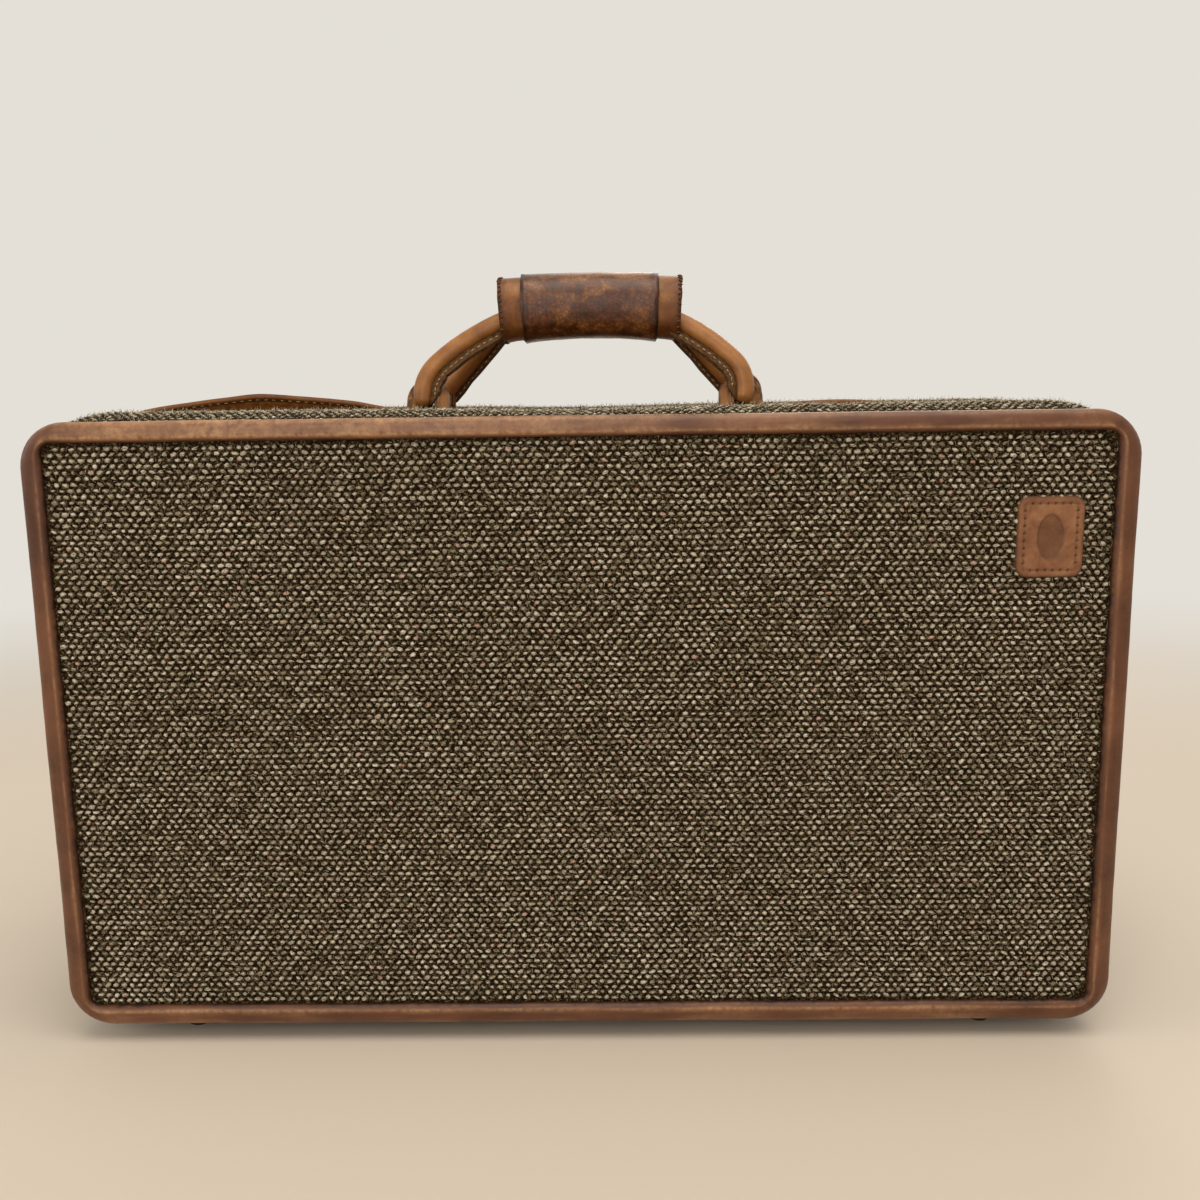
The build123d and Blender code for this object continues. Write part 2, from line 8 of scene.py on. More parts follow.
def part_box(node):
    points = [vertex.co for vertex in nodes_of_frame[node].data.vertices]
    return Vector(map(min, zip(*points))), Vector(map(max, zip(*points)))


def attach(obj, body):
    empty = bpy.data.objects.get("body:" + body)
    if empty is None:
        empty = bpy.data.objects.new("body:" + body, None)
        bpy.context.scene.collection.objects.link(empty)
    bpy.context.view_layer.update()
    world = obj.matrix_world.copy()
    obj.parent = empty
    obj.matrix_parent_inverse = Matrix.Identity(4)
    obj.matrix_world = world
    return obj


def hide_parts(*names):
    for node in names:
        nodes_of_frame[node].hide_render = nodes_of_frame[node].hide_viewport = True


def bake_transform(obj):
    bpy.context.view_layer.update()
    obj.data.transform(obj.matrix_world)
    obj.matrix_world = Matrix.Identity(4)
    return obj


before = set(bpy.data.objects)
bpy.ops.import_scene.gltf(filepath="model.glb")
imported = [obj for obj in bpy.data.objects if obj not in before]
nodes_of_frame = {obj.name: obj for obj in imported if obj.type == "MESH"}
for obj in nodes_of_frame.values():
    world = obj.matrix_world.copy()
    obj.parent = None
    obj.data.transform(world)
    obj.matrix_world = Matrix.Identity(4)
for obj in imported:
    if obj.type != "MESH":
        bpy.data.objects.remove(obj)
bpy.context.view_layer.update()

scene = bpy.context.scene
scene.view_settings.view_transform = "Standard"


# Camera: a phone held a little above the case and tipped down at it. Its axes and its place in
# metres come from matching the case's edges in the photograph, and its lens has a 53 degree view.
camera = bpy.data.objects.new("camera", bpy.data.cameras.new("camera"))
scene.collection.objects.link(camera)
right = Vector((0.99983, 0.01288, -0.01332))
down = Vector((-0.01092, -0.17168, -0.98510))
ahead = Vector((-0.01497, 0.98507, -0.17151))
camera.matrix_world = Matrix.Translation((0.0221, -0.7608, 0.3849)) @ Matrix(
    [(right[row], -down[row], -ahead[row]) for row in range(3)]
).to_4x4()
camera.data.lens = 36
camera.data.sensor_width = 36
camera.data.clip_start = 0.01
scene.camera = camera


def linear(colour):
    """An sRGB hex colour as the linear colour that a socket takes."""
    parts = [int(colour[at : at + 2], 16) / 255 for at in (1, 3, 5)]
    return [p / 12.92 if p <= 0.04045 else ((p + 0.055) / 1.055) ** 2.4 for p in parts] + [1.0]


def add_node(tree, kind, inputs=(), **settings):
    """Adds a node with its settings, and its inputs as values, hex colours or other nodes' sockets."""
    made = tree.nodes.new(kind)
    for name, value in settings.items():
        setattr(made, name, value)
    for name, value in dict(inputs).items():
        if isinstance(value, bpy.types.NodeSocket):
            tree.links.new(value, made.inputs[name])
        elif isinstance(value, str) and value.startswith("#"):
            made.inputs[name].default_value = linear(value)
        else:
            made.inputs[name].default_value = value
    return made


# Room: a pale floor under a pale sky, lit by one wide soft light above, one in front and a weak one
# from the left, like the window light in the photograph.
def lamp(name, place, target, size, power, colour):
    """A square soft light at a place, turned to a target."""
    light = bpy.data.lights.new(name, "AREA")
    light.size = size
    light.energy = power
    light.color = linear(colour)[:3]
    made = bpy.data.objects.new(name, light)
    scene.collection.objects.link(made)
    made.location = place
    made.rotation_euler = (Vector(target) - Vector(place)).to_track_quat("-Z", "Y").to_euler()


lamp("light_above", (0.2, -0.5, 2.0), (0, 0, 0.2), 1.6, 26, "#fff6ea")
lamp("light_front", (-0.5, -2.2, 1.1), (0, 0, 0.2), 1.5, 17, "#fff8f0")
lamp("light_left", (-1.9, -0.4, 0.9), (0, 0, 0.25), 1.0, 6, "#fffaf2")
lamp("light_back", (0.6, 2.1, 1.3), (0, 0, 0.2), 1.4, 12, "#fff8f0")

world = bpy.data.worlds.new("room")
scene.world = world
world.use_nodes = True
sky = world.node_tree
sky.nodes.clear()
rays = add_node(sky, "ShaderNodeLightPath")
seen = rays.outputs["Is Camera Ray"]
for kind in ("Is Glossy Ray", "Is Transmission Ray"):
    either = {0: seen, 1: rays.outputs[kind]}
    seen = add_node(sky, "ShaderNodeMath", either, operation="MAXIMUM").outputs[0]
backdrop = add_node(sky, "ShaderNodeBackground", {"Color": "#e4e0d8", "Strength": 1.0})
ambient = add_node(sky, "ShaderNodeBackground", {"Color": "#fff7ec", "Strength": 0.42})
mixed = add_node(sky, "ShaderNodeMixShader", {0: seen, 1: ambient.outputs[0], 2: backdrop.outputs[0]})
add_node(sky, "ShaderNodeOutputWorld", {"Surface": mixed.outputs[0]})

bpy.ops.mesh.primitive_plane_add(size=9)
floor = bpy.context.object
floor.name = "floor"
pale_floor = bpy.data.materials.new("painted_pale_boards")
pale_floor.use_nodes = True
boards = pale_floor.node_tree
boards.nodes["Principled BSDF"].inputs["Base Color"].default_value = linear("#d6cbbb")
boards.nodes["Principled BSDF"].inputs["Roughness"].default_value = 0.7
spot = add_node(boards, "ShaderNodeTexCoord")
distance = add_node(boards, "ShaderNodeVectorMath", {0: spot.outputs["Object"]}, operation="LENGTH")
fade = add_node(
    boards,
    "ShaderNodeMapRange",
    {0: distance.outputs["Value"], 1: 0.6, 2: 1.9},
    interpolation_type="SMOOTHSTEP",
)
far_glow = add_node(boards, "ShaderNodeEmission", {"Color": "#e4e0d8", "Strength": 1.0})
light_path = add_node(boards, "ShaderNodeLightPath")
far_seen = add_node(
    boards,
    "ShaderNodeMath",
    {0: fade.outputs[0], 1: light_path.outputs["Is Camera Ray"]},
    operation="MULTIPLY",
)
far_floor = add_node(
    boards,
    "ShaderNodeMixShader",
    {0: far_seen.outputs[0], 1: boards.nodes["Principled BSDF"].outputs[0], 2: far_glow.outputs[0]},
)
boards.links.new(far_floor.outputs[0], boards.nodes["Material Output"].inputs["Surface"])
floor.data.materials.append(pale_floor)


# Boards: each half is a wall of bent plywood with a thin board let into it. Both are covered, and
# only their edges can be glimpsed when the case is open, so they keep their solids.
def principled(name, colour, roughness, settings=()):
    """A new material with its tree, its shader and the point in the object's own space."""
    made = bpy.data.materials.new(name)
    made.use_nodes = True
    tree = made.node_tree
    shader = tree.nodes["Principled BSDF"]
    shader.inputs["Base Color"].default_value = linear(colour)
    shader.inputs["Roughness"].default_value = roughness
    for socket, value in dict(settings).items():
        shader.inputs[socket].default_value = value
    place = add_node(tree, "ShaderNodeTexCoord").outputs["Object"]
    return made, tree, shader, place


def ramp(tree, factor, stops):
    """A colour ramp through hex colours."""
    made = add_node(tree, "ShaderNodeValToRGB", {"Fac": factor})
    spots = made.color_ramp.elements
    while len(spots) < len(stops):
        spots.new(0.5)
    for spot, (at, colour) in zip(spots, stops):
        spot.position = at
        spot.color = linear(colour)
    return made.outputs["Color"]


def per_mm(size):
    """A texture's scale for features of that size in millimetres."""
    return 1000 / size


def tint(tree, base, over, share, how="MIX"):
    """One colour mixed over another."""
    made = add_node(tree, "ShaderNodeMix", {0: share, 6: base, 7: over}, data_type="RGBA", blend_type=how)
    return made.outputs[2]


def grained(name, colour, roughness, size, detail, stops, bump=None, settings=(), stretch=None, bands=None):
    """A material whose colour and relief follow one noise, or one wave across bands of that direction."""
    made, tree, shader, place = principled(name, colour, roughness, settings)
    if stretch:
        place = add_node(tree, "ShaderNodeMapping", {"Vector": place, "Scale": stretch}).outputs[0]
    given = {"Vector": place, "Scale": per_mm(size)}
    if bands:
        grain = add_node(tree, "ShaderNodeTexWave", {**given, "Distortion": detail}, bands_direction=bands)
    else:
        grain = add_node(tree, "ShaderNodeTexNoise", {**given, "Detail": detail})
    tree.links.new(ramp(tree, grain.outputs["Fac"], stops), shader.inputs["Base Color"])
    if bump:
        relief = {"Strength": bump[0], "Distance": bump[1], "Height": grain.outputs["Fac"]}
        tree.links.new(add_node(tree, "ShaderNodeBump", relief).outputs[0], shader.inputs["Normal"])
    return made


# Birch plywood, sawn: pale straw colour with long darker grain
plywood_tones = [(0.3, "#8d6a42"), (0.55, "#b08d5f"), (0.8, "#c5a577")]
plywood = grained(
    "birch_plywood_sawn", "#b08d5f", 0.75, 12, 6, plywood_tones, (0.3, 0.0004), stretch=(1, 8, 8)
)


def dress(material, *names):
    """Gives CAD nodes that keep their own shape a better material."""
    for name in names:
        slots = nodes_of_frame[name].data.materials
        slots.clear()
        slots.append(material)


dress(plywood, "front_frame", "rear_frame", "front_panel", "rear_panel")


# Ground of the tweed: a dark woollen cloth glued over the boards and the walls. Sizes here are in
# millimetres, as the case was measured over its leather edge.
case_width = 620
case_height = 360
case_bottom = 12
case_corner = 25
cloth_face = 92
cloth_inset = 3
mouth_y = 8.5
top_z = case_bottom + case_height
middle_z = case_bottom + case_height / 2


def mesh_piece(name, points, faces, wear=None, smooth=True):
    """A mesh object from points in millimetres. Wear is a value for each point, kept as an attribute."""
    mesh = bpy.data.meshes.new(name)
    mesh.from_pydata([(x / 1000, y / 1000, z / 1000) for x, y, z in points], [], faces)
    if wear is not None:
        mesh.attributes.new("wear", "FLOAT", "POINT").data.foreach_set("value", wear)
    made = bmesh.new()
    made.from_mesh(mesh)
    bmesh.ops.recalc_face_normals(made, faces=made.faces)
    made.to_mesh(mesh)
    made.free()
    mesh.polygons.foreach_set("use_smooth", [smooth] * len(mesh.polygons))
    mesh.update()
    piece = bpy.data.objects.new(name, mesh)
    scene.collection.objects.link(piece)
    return piece


def place_piece(piece, material, body, slot, *stands_for):
    """A finished piece gets its material and its body, and the CAD nodes that it stands for are hidden. The
    slot is not used.
    """
    if material is not None:
        piece.data.materials.clear()
        piece.data.materials.append(material)
    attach(piece, body)
    if stands_for:
        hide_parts(*stands_for)


def edge_run(step):
    """Places round the case's outline from the middle of the bottom, each (x, z, outward x, outward z)."""
    half = case_width / 2 - case_corner
    low, high = case_bottom + case_corner, top_z - case_corner
    corners = [(-half, low, 270), (-half, high, 180), (half, high, 90), (half, low, 0)]
    run = [(0.0, case_bottom, 0, -1)]

    def straight(x1, z1, out):
        x0, z0 = run[-1][:2]
        count = ceil(max(abs(x1 - x0), abs(z1 - z0)) / step)
        for n in range(1, count + 1):
            run.append((x0 + (x1 - x0) * n / count, z0 + (z1 - z0) * n / count, *out))

    for x, z, start in corners:
        out = (cos(radians(start)), sin(radians(start)))
        straight(x + case_corner * out[0], z + case_corner * out[1], out)
        for n in range(1, 11):
            turn = radians(start - 9 * n)
            run.append((x + case_corner * cos(turn), z + case_corner * sin(turn), cos(turn), sin(turn)))
    straight(0.0, case_bottom, (0, -1))
    return run[:-1]


def crown(x, y):
    """How far the padding lifts the cloth along the top of a half."""
    across = max(0, 1 - ((abs(y) - 55) / 25) ** 2)
    along = min(1, max(0, (300 - abs(x)) / 28))
    full = 5.0 + 1.6 * min(1, abs(x) / 130)
    uneven = 0.5 * noise.noise(Vector((x / 45, y / 30, 7)))
    return full * across * sin(along * pi / 2) + uneven * across * along


def swept(rows, loop=True, closed=True):
    """Faces that join rows of points of equal length. Loop joins the last row to the first."""
    wide = len(rows[0])
    points = [point for row in rows for point in row]
    faces = []
    for i in range(len(rows) if loop else len(rows) - 1):
        a, b = i * wide, (i + 1) % len(rows) * wide
        for j in range(wide if closed else wide - 1):
            k = (j + 1) % wide
            faces.append((a + j, a + k, b + k, b + j))
    if not loop and closed:
        faces.append(tuple(range(wide)))
        faces.append(tuple(range(len(points) - 1, len(points) - wide - 1, -1)))
    return points, faces


def around(section, side, step=8, lift=None, above=None):
    """Rows of points that carry a section of (inset, y) round the case, or only above a height."""
    rows = []
    for x, z, out_x, out_z in edge_run(step):
        if above is not None and z < above:
            continue
        row = []
        for inset, y in section:
            deep = inset - (lift(x, y, out_z) if lift else 0)
            row.append((x - out_x * deep, side * y, z - out_z * deep))
        rows.append(row)
    return rows


def on_top(x, y, out_z):
    """The crown along the top, and nothing elsewhere."""
    return crown(x, y) if out_z > 0.8 else 0


# Woollen ground cloth, loosely spun and nearly black brown, which shows in the gaps of the weave
ground_tones = [(0.38, "#150d06"), (0.54, "#2f2415"), (0.72, "#786b52")]
ground_cloth = grained(
    "wool_ground_cloth", "#1c1409", 1.0, 1.1, 4, ground_tones, (0.8, 0.0006), {"Specular IOR Level": 0.05}
)

halves = (("front", -1), ("rear", 1))
wall_section = [(cloth_inset, mouth_y), (6, mouth_y), (6, 89.5), (cloth_inset, 89.5)]
wall_section += [(cloth_inset, y) for y in (85, 80, 75, 69, 62, 55, 48, 41, 35, 30, 20)]
for half, side in halves:
    ground_wall = mesh_piece(f"{half}_wall_cloth", *swept(around(wall_section, side, 8, on_top)))
    place_piece(ground_wall, ground_cloth, f"{half}_half", "tweed", f"{half}_gusset")
    rim = [(x - 4 * ox, side * cloth_face, z - 4 * oz) for x, z, ox, oz in edge_run(20)]
    back = [(x, side * 89.5, z) for x, _, z in rim]
    wide = len(rim)
    sheet_faces = [tuple(range(wide)), tuple(range(2 * wide - 1, wide - 1, -1))]
    sheet_faces += [(i, (i + 1) % wide, wide + (i + 1) % wide, wide + i) for i in range(wide)]
    ground_face = mesh_piece(f"{half}_face_cloth", rim + back, sheet_faces, smooth=False)
    place_piece(ground_face, ground_cloth, f"{half}_half", "tweed", f"{half}_tweed_face")


# Tweed nubs: thick pale yarns that float over the dark ground, one nub every 4.9 mm along a row and
# 3.3 mm between rows, set half a nub over in every other row, as in a basket weave.
def set_in_place():
    """A tree that puts a shape on each point, turned by its own axes, with a random size and turn."""
    tree = bpy.data.node_groups.new("set_in_place", "GeometryNodeTree")
    for name, kind in (
        ("Places", "NodeSocketGeometry"),
        ("Shape", "NodeSocketObject"),
        ("Smallest", "NodeSocketVector"),
        ("Largest", "NodeSocketVector"),
        ("Turn", "NodeSocketVector"),
        ("Seed", "NodeSocketInt"),
        ("Ragged", "NodeSocketFloat"),
        ("Ragged Scale", "NodeSocketFloat"),
        ("Material", "NodeSocketMaterial"),
    ):
        tree.interface.new_socket(name, in_out="INPUT", socket_type=kind)
    tree.interface.new_socket("Pieces", in_out="OUTPUT", socket_type="NodeSocketGeometry")
    given = add_node(tree, "NodeGroupInput").outputs
    run = add_node(tree, "GeometryNodeInputNamedAttribute", {"Name": "run"}, data_type="FLOAT_VECTOR")
    out = add_node(tree, "GeometryNodeInputNamedAttribute", {"Name": "out"}, data_type="FLOAT_VECTOR")
    axes = add_node(
        tree,
        "FunctionNodeAxesToRotation",
        {"Primary Axis": out.outputs["Attribute"], "Secondary Axis": run.outputs["Attribute"]},
        primary_axis="Z",
        secondary_axis="X",
    )
    back = add_node(tree, "ShaderNodeVectorMath", {0: given["Turn"], "Scale": -1.0}, operation="SCALE")
    twist = add_node(
        tree,
        "FunctionNodeRandomValue",
        {"Min": back.outputs[0], "Max": given["Turn"], "Seed": given["Seed"]},
        data_type="FLOAT_VECTOR",
    )
    turned = add_node(
        tree,
        "FunctionNodeRotateRotation",
        {"Rotation": axes.outputs[0], "Rotate By": twist.outputs["Value"]},
        rotation_space="LOCAL",
    )
    size = add_node(
        tree,
        "FunctionNodeRandomValue",
        {"Min": given["Smallest"], "Max": given["Largest"], "Seed": given["Seed"]},
        data_type="FLOAT_VECTOR",
    )
    shape = add_node(tree, "GeometryNodeObjectInfo", {"Object": given["Shape"]}, transform_space="ORIGINAL")
    set_out = add_node(
        tree,
        "GeometryNodeInstanceOnPoints",
        {
            "Points": given["Places"],
            "Instance": shape.outputs["Geometry"],
            "Rotation": turned.outputs[0],
            "Scale": size.outputs["Value"],
        },
    )
    shade = add_node(tree, "FunctionNodeRandomValue", {"Seed": given["Seed"]}, data_type="FLOAT")
    marked = add_node(
        tree,
        "GeometryNodeStoreNamedAttribute",
        {"Geometry": set_out.outputs[0], "Name": "shade", "Value": shade.outputs[1]},
        data_type="FLOAT",
        domain="INSTANCE",
    )
    real = add_node(tree, "GeometryNodeRealizeInstances", {"Geometry": marked.outputs[0]})
    lumps = add_node(tree, "ShaderNodeTexNoise", {"Scale": given["Ragged Scale"], "Detail": 1.0})
    offset = add_node(
        tree, "ShaderNodeVectorMath", {0: lumps.outputs["Color"], 1: (0.5, 0.5, 0.5)}, operation="SUBTRACT"
    )
    offset = add_node(
        tree, "ShaderNodeVectorMath", {0: offset.outputs[0], "Scale": given["Ragged"]}, operation="SCALE"
    )
    uneven = add_node(
        tree, "GeometryNodeSetPosition", {"Geometry": real.outputs[0], "Offset": offset.outputs[0]}
    )
    finish = add_node(
        tree, "GeometryNodeSetMaterial", {"Geometry": uneven.outputs[0], "Material": given["Material"]}
    )
    add_node(tree, "NodeGroupOutput", {0: finish.outputs[0]})
    return tree


placing = set_in_place()


def repeated(name, places, shape, smallest, largest, turn, seed, material, ragged=0.0):
    """One mesh of many like shapes. Places are (point, run, out) in millimetres, sizes are factors."""
    mesh = bpy.data.meshes.new(name)
    mesh.from_pydata([tuple(v / 1000 for v in at) for at, _, _ in places], [], [])
    for label, column in (("run", 1), ("out", 2)):
        flat = [v for spot in places for v in spot[column]]
        mesh.attributes.new(label, "FLOAT_VECTOR", "POINT").data.foreach_set("vector", flat)
    piece = bpy.data.objects.new(name, mesh)
    scene.collection.objects.link(piece)
    modifier = piece.modifiers.new("placing", "NODES")
    modifier.node_group = placing
    values = {
        "Shape": shape,
        "Smallest": smallest,
        "Largest": largest,
        "Turn": turn,
        "Seed": seed,
        "Ragged": ragged / 1000,
        "Ragged Scale": per_mm(1.4),
        "Material": material,
    }
    for socket in placing.interface.items_tree:
        if socket.name in values:
            modifier[socket.identifier] = values[socket.name]
    depsgraph = bpy.context.evaluated_depsgraph_get()
    made = bpy.data.meshes.new_from_object(piece.evaluated_get(depsgraph))
    piece.modifiers.remove(modifier)
    piece.data = made
    made.name = name
    return piece


def shape_of(name, build):
    """A small shape to repeat, a millimetre across, made by a bmesh function."""
    mesh = bpy.data.meshes.new(name)
    made = bmesh.new()
    build(made)
    tips = [vert.co.z for vert in made.verts]
    bmesh.ops.scale(made, vec=(0.001, 0.001, 0.001), verts=made.verts)
    bmesh.ops.recalc_face_normals(made, faces=made.faces)
    made.to_mesh(mesh)
    made.free()
    mesh.attributes.new("tip", "FLOAT", "POINT").data.foreach_set("value", tips)
    mesh.polygons.foreach_set("use_smooth", [True] * len(mesh.polygons))
    piece = bpy.data.objects.new(name, mesh)
    scene.collection.objects.link(piece)
    return piece


nub_shape = shape_of("nub_shape", lambda made: bmesh.ops.create_icosphere(made, subdivisions=1, radius=1))


def build_hair(made):
    """A fibre: a thin cone with three sides, standing on its root."""
    stand = Matrix.Translation((0, 0, 0.5))
    bmesh.ops.create_cone(made, cap_ends=True, segments=3, radius1=1, radius2=0.3, depth=1, matrix=stand)


hair_shape = shape_of("hair_shape", build_hair)

# Shetland wool yarn, hand spun look: each nub has its own mix of fawn, olive and cream, with a few
# pink and green flecks, and fine fibres run along it. It is dull with a soft bright edge. Each nub is
# painted darker towards its base, a painted shade under its rounded top.
yarn, tree, shader, place = principled(
    "wool_tweed_yarn", "#b5a88c", 0.95, {"Specular IOR Level": 0.1, "Sheen Weight": 0.1}
)
shade = add_node(tree, "ShaderNodeAttribute", attribute_name="shade")
flecks = ramp(
    tree,
    shade.outputs["Fac"],
    [
        (0.0, "#8f8570"),
        (0.14, "#b0a894"),
        (0.45, "#cbc4b2"),
        (0.8, "#d9d3c3"),
        (0.93, "#e8e3d6"),
        (0.965, "#d2b0a2"),
        (1.0, "#b0b494"),
    ],
)
long_fibres = add_node(tree, "ShaderNodeMapping", {"Vector": place, "Scale": (0.5, 1, 1)})
fibres = add_node(
    tree,
    "ShaderNodeTexNoise",
    {"Vector": long_fibres.outputs[0], "Scale": per_mm(1.0), "Detail": 6, "Roughness": 0.7},
)
fibre_tone = ramp(
    tree, fibres.outputs["Fac"], [(0.37, "#50483b"), (0.45, "#aaa395"), (0.52, "#f6f4ef"), (0.7, "#ffffff")]
)
patches = add_node(tree, "ShaderNodeTexNoise", {"Vector": place, "Scale": per_mm(70), "Detail": 2})
broad_tone = ramp(tree, patches.outputs["Fac"], [(0.3, "#dcd9d2"), (0.7, "#ffffff")])
# Painted shade: each nub's colour darkens from its top down to its base, read from its height.
tips = add_node(tree, "ShaderNodeAttribute", attribute_name="tip")
painted_nub_shade = ramp(tree, tips.outputs["Fac"], [(0.0, "#675d4c"), (0.35, "#c9c1b1"), (0.7, "#ffffff")])
spun = tint(tree, tint(tree, flecks, fibre_tone, 0.85, "MULTIPLY"), painted_nub_shade, 1.0, "MULTIPLY")
yarn_colour = tint(tree, spun, broad_tone, 0.7, "MULTIPLY")
tree.links.new(yarn_colour, shader.inputs["Base Color"])
bump = add_node(
    tree, "ShaderNodeBump", {"Strength": 0.7, "Distance": 0.0004, "Height": fibres.outputs["Fac"]}
)
tree.links.new(bump.outputs[0], shader.inputs["Normal"])

# Loose wool fibre that stands off the cloth
fluff_tones = [(0.35, "#5d5341"), (0.5, "#b5ab94"), (0.75, "#e4dcc8")]
fluff = grained("wool_loose_fibre", "#a5977a", 0.9, 9, 3, fluff_tones, None, {"Specular IOR Level": 0.1})

nub_pitch = 4.9
row_rise = 3.3
patch_middle = (263.3, 301.5)
patch_size = (37.8, 46)


def drift(x, z, seed):
    """How far the threads wander from their straight lines at a place."""
    slow, quick = (noise.noise(Vector(at)) for at in ((x / 70, z / 50, seed), (x / 6, z / 6, seed)))
    return 1.3 * slow + 0.35 * quick


def inside_edge(x, z, inset):
    """Whether a place on the face lies inside the case's rounded outline, that far in."""
    wide, high, corner = case_width / 2 - inset, case_height / 2 - inset, case_corner - inset
    far_x, far_z = abs(x) - (wide - corner), abs(z - middle_z) - (high - corner)
    if far_x > 0 and far_z > 0:
        return far_x**2 + far_z**2 < corner**2
    return far_x < corner and far_z < corner


def face_places(side, odd):
    """Every other row of nub places on a face."""
    places = []
    for row in range(int(case_height / row_rise)):
        if row % 2 != odd:
            continue
        for column in range(int(case_width / nub_pitch) + 1):
            x = -case_width / 2 + (column + 0.5 * odd) * nub_pitch
            z = case_bottom + (row + 0.5) * row_rise
            x, z = x + drift(x, z, 1.5), z + 0.6 * drift(x, z, 8.5)
            under_patch = side < 0 and abs(x - patch_middle[0]) < 17 and abs(z - patch_middle[1]) < 20
            # Nubs stop short of the leather edge, so that a band of the dark ground shows there as a painted
            # shadow under the leather.
            if inside_edge(x, z, 13.6) and not under_patch:
                places.append(((x, side * (cloth_face + 0.1), z), (1, 0, 0), (0, side, 0)))
    return places


def wall_places(side, pitch, first, last, rise, lifted):
    """Places over the cloth of the walls, from y first to last, in rows along the case."""
    run = edge_run(2.45)
    places = []
    length = 0
    spots = []
    for here, after in zip(run, run[1:] + run[:1]):
        x, z, ox, oz = here
        step = sqrt((after[0] - x) ** 2 + (after[1] - z) ** 2)
        spots.append((length, here))
        length += step * (1 - cloth_inset / case_corner if 0.01 < abs(ox) < 0.99 else 1)
    count = int(length / pitch)
    rows = int((last - first) / rise)
    at = 0
    for column in range(2 * count):
        wanted = column * length / (2 * count)
        while at + 1 < len(spots) and spots[at + 1][0] <= wanted:
            at += 1
        start, (x, z, ox, oz) = spots[at]
        extra = wanted - start
        x, z = x + extra * oz, z - extra * ox
        for row in range(rows):
            if (row + column) % 2:
                continue
            y = first + (row + 0.5) * rise
            slip = drift(x + z, y, 3.5)
            wander = 0.6 * drift(x + z, y, 5.5)
            rise_here = on_top(x, y, oz) - cloth_inset + lifted
            spot = (x + oz * slip + ox * rise_here, side * (y + wander), z - ox * slip + oz * rise_here)
            places.append((spot, (oz, 0, -ox), (ox, 0, oz)))
    return places


for half, side in halves:
    for odd, weft in ((0, "first"), (1, "second")):
        on_face = face_places(side, odd)
        loose = [((x + 2.1, y, z + 1.4), run, out) for (x, y, z), run, out in on_face]
        nub_sizes = ((1.5, 0.9, 0.8), (2.5, 1.6, 1.5), (0.3, 0.3, 0.5))
        wisp_sizes = ((0.08, 0.08, 1.4), (0.15, 0.15, 3.6), (1.5, 1.5, 3.1))
        nubs = repeated(
            f"{half}_face_{weft}_weft", on_face, nub_shape, *nub_sizes, 11 + odd + side, yarn, 1.9
        )
        place_piece(nubs, None, f"{half}_half", "tweed")
        wisps = repeated(
            f"{half}_face_{weft}_fluff", loose, hair_shape, *wisp_sizes, 61 + odd + side, fluff, 1.5
        )
        place_piece(wisps, None, f"{half}_half", "tweed")
    on_wall = wall_places(side, nub_pitch, mouth_y + 0.4, 80.5, row_rise, 0.1)
    nub_sizes = ((1.3, 0.9, 0.7), (2.1, 1.5, 1.4), (0.4, 0.4, 0.5))
    nubs = repeated(f"{half}_wall_weft", on_wall, nub_shape, *nub_sizes, 31 + side, yarn, 1.1)
    place_piece(nubs, None, f"{half}_half", "tweed")
    loose = wall_places(side, 3.1, mouth_y + 1, 80, 2.7, 0.6)
    hair_sizes = ((0.09, 0.09, 1.0), (0.22, 0.22, 3.4), (1.1, 1.1, 3.1))
    hairs = repeated(f"{half}_wall_fluff", loose, hair_shape, *hair_sizes, 51 + side, fluff, 1.5)
    place_piece(hairs, None, f"{half}_half", "tweed")
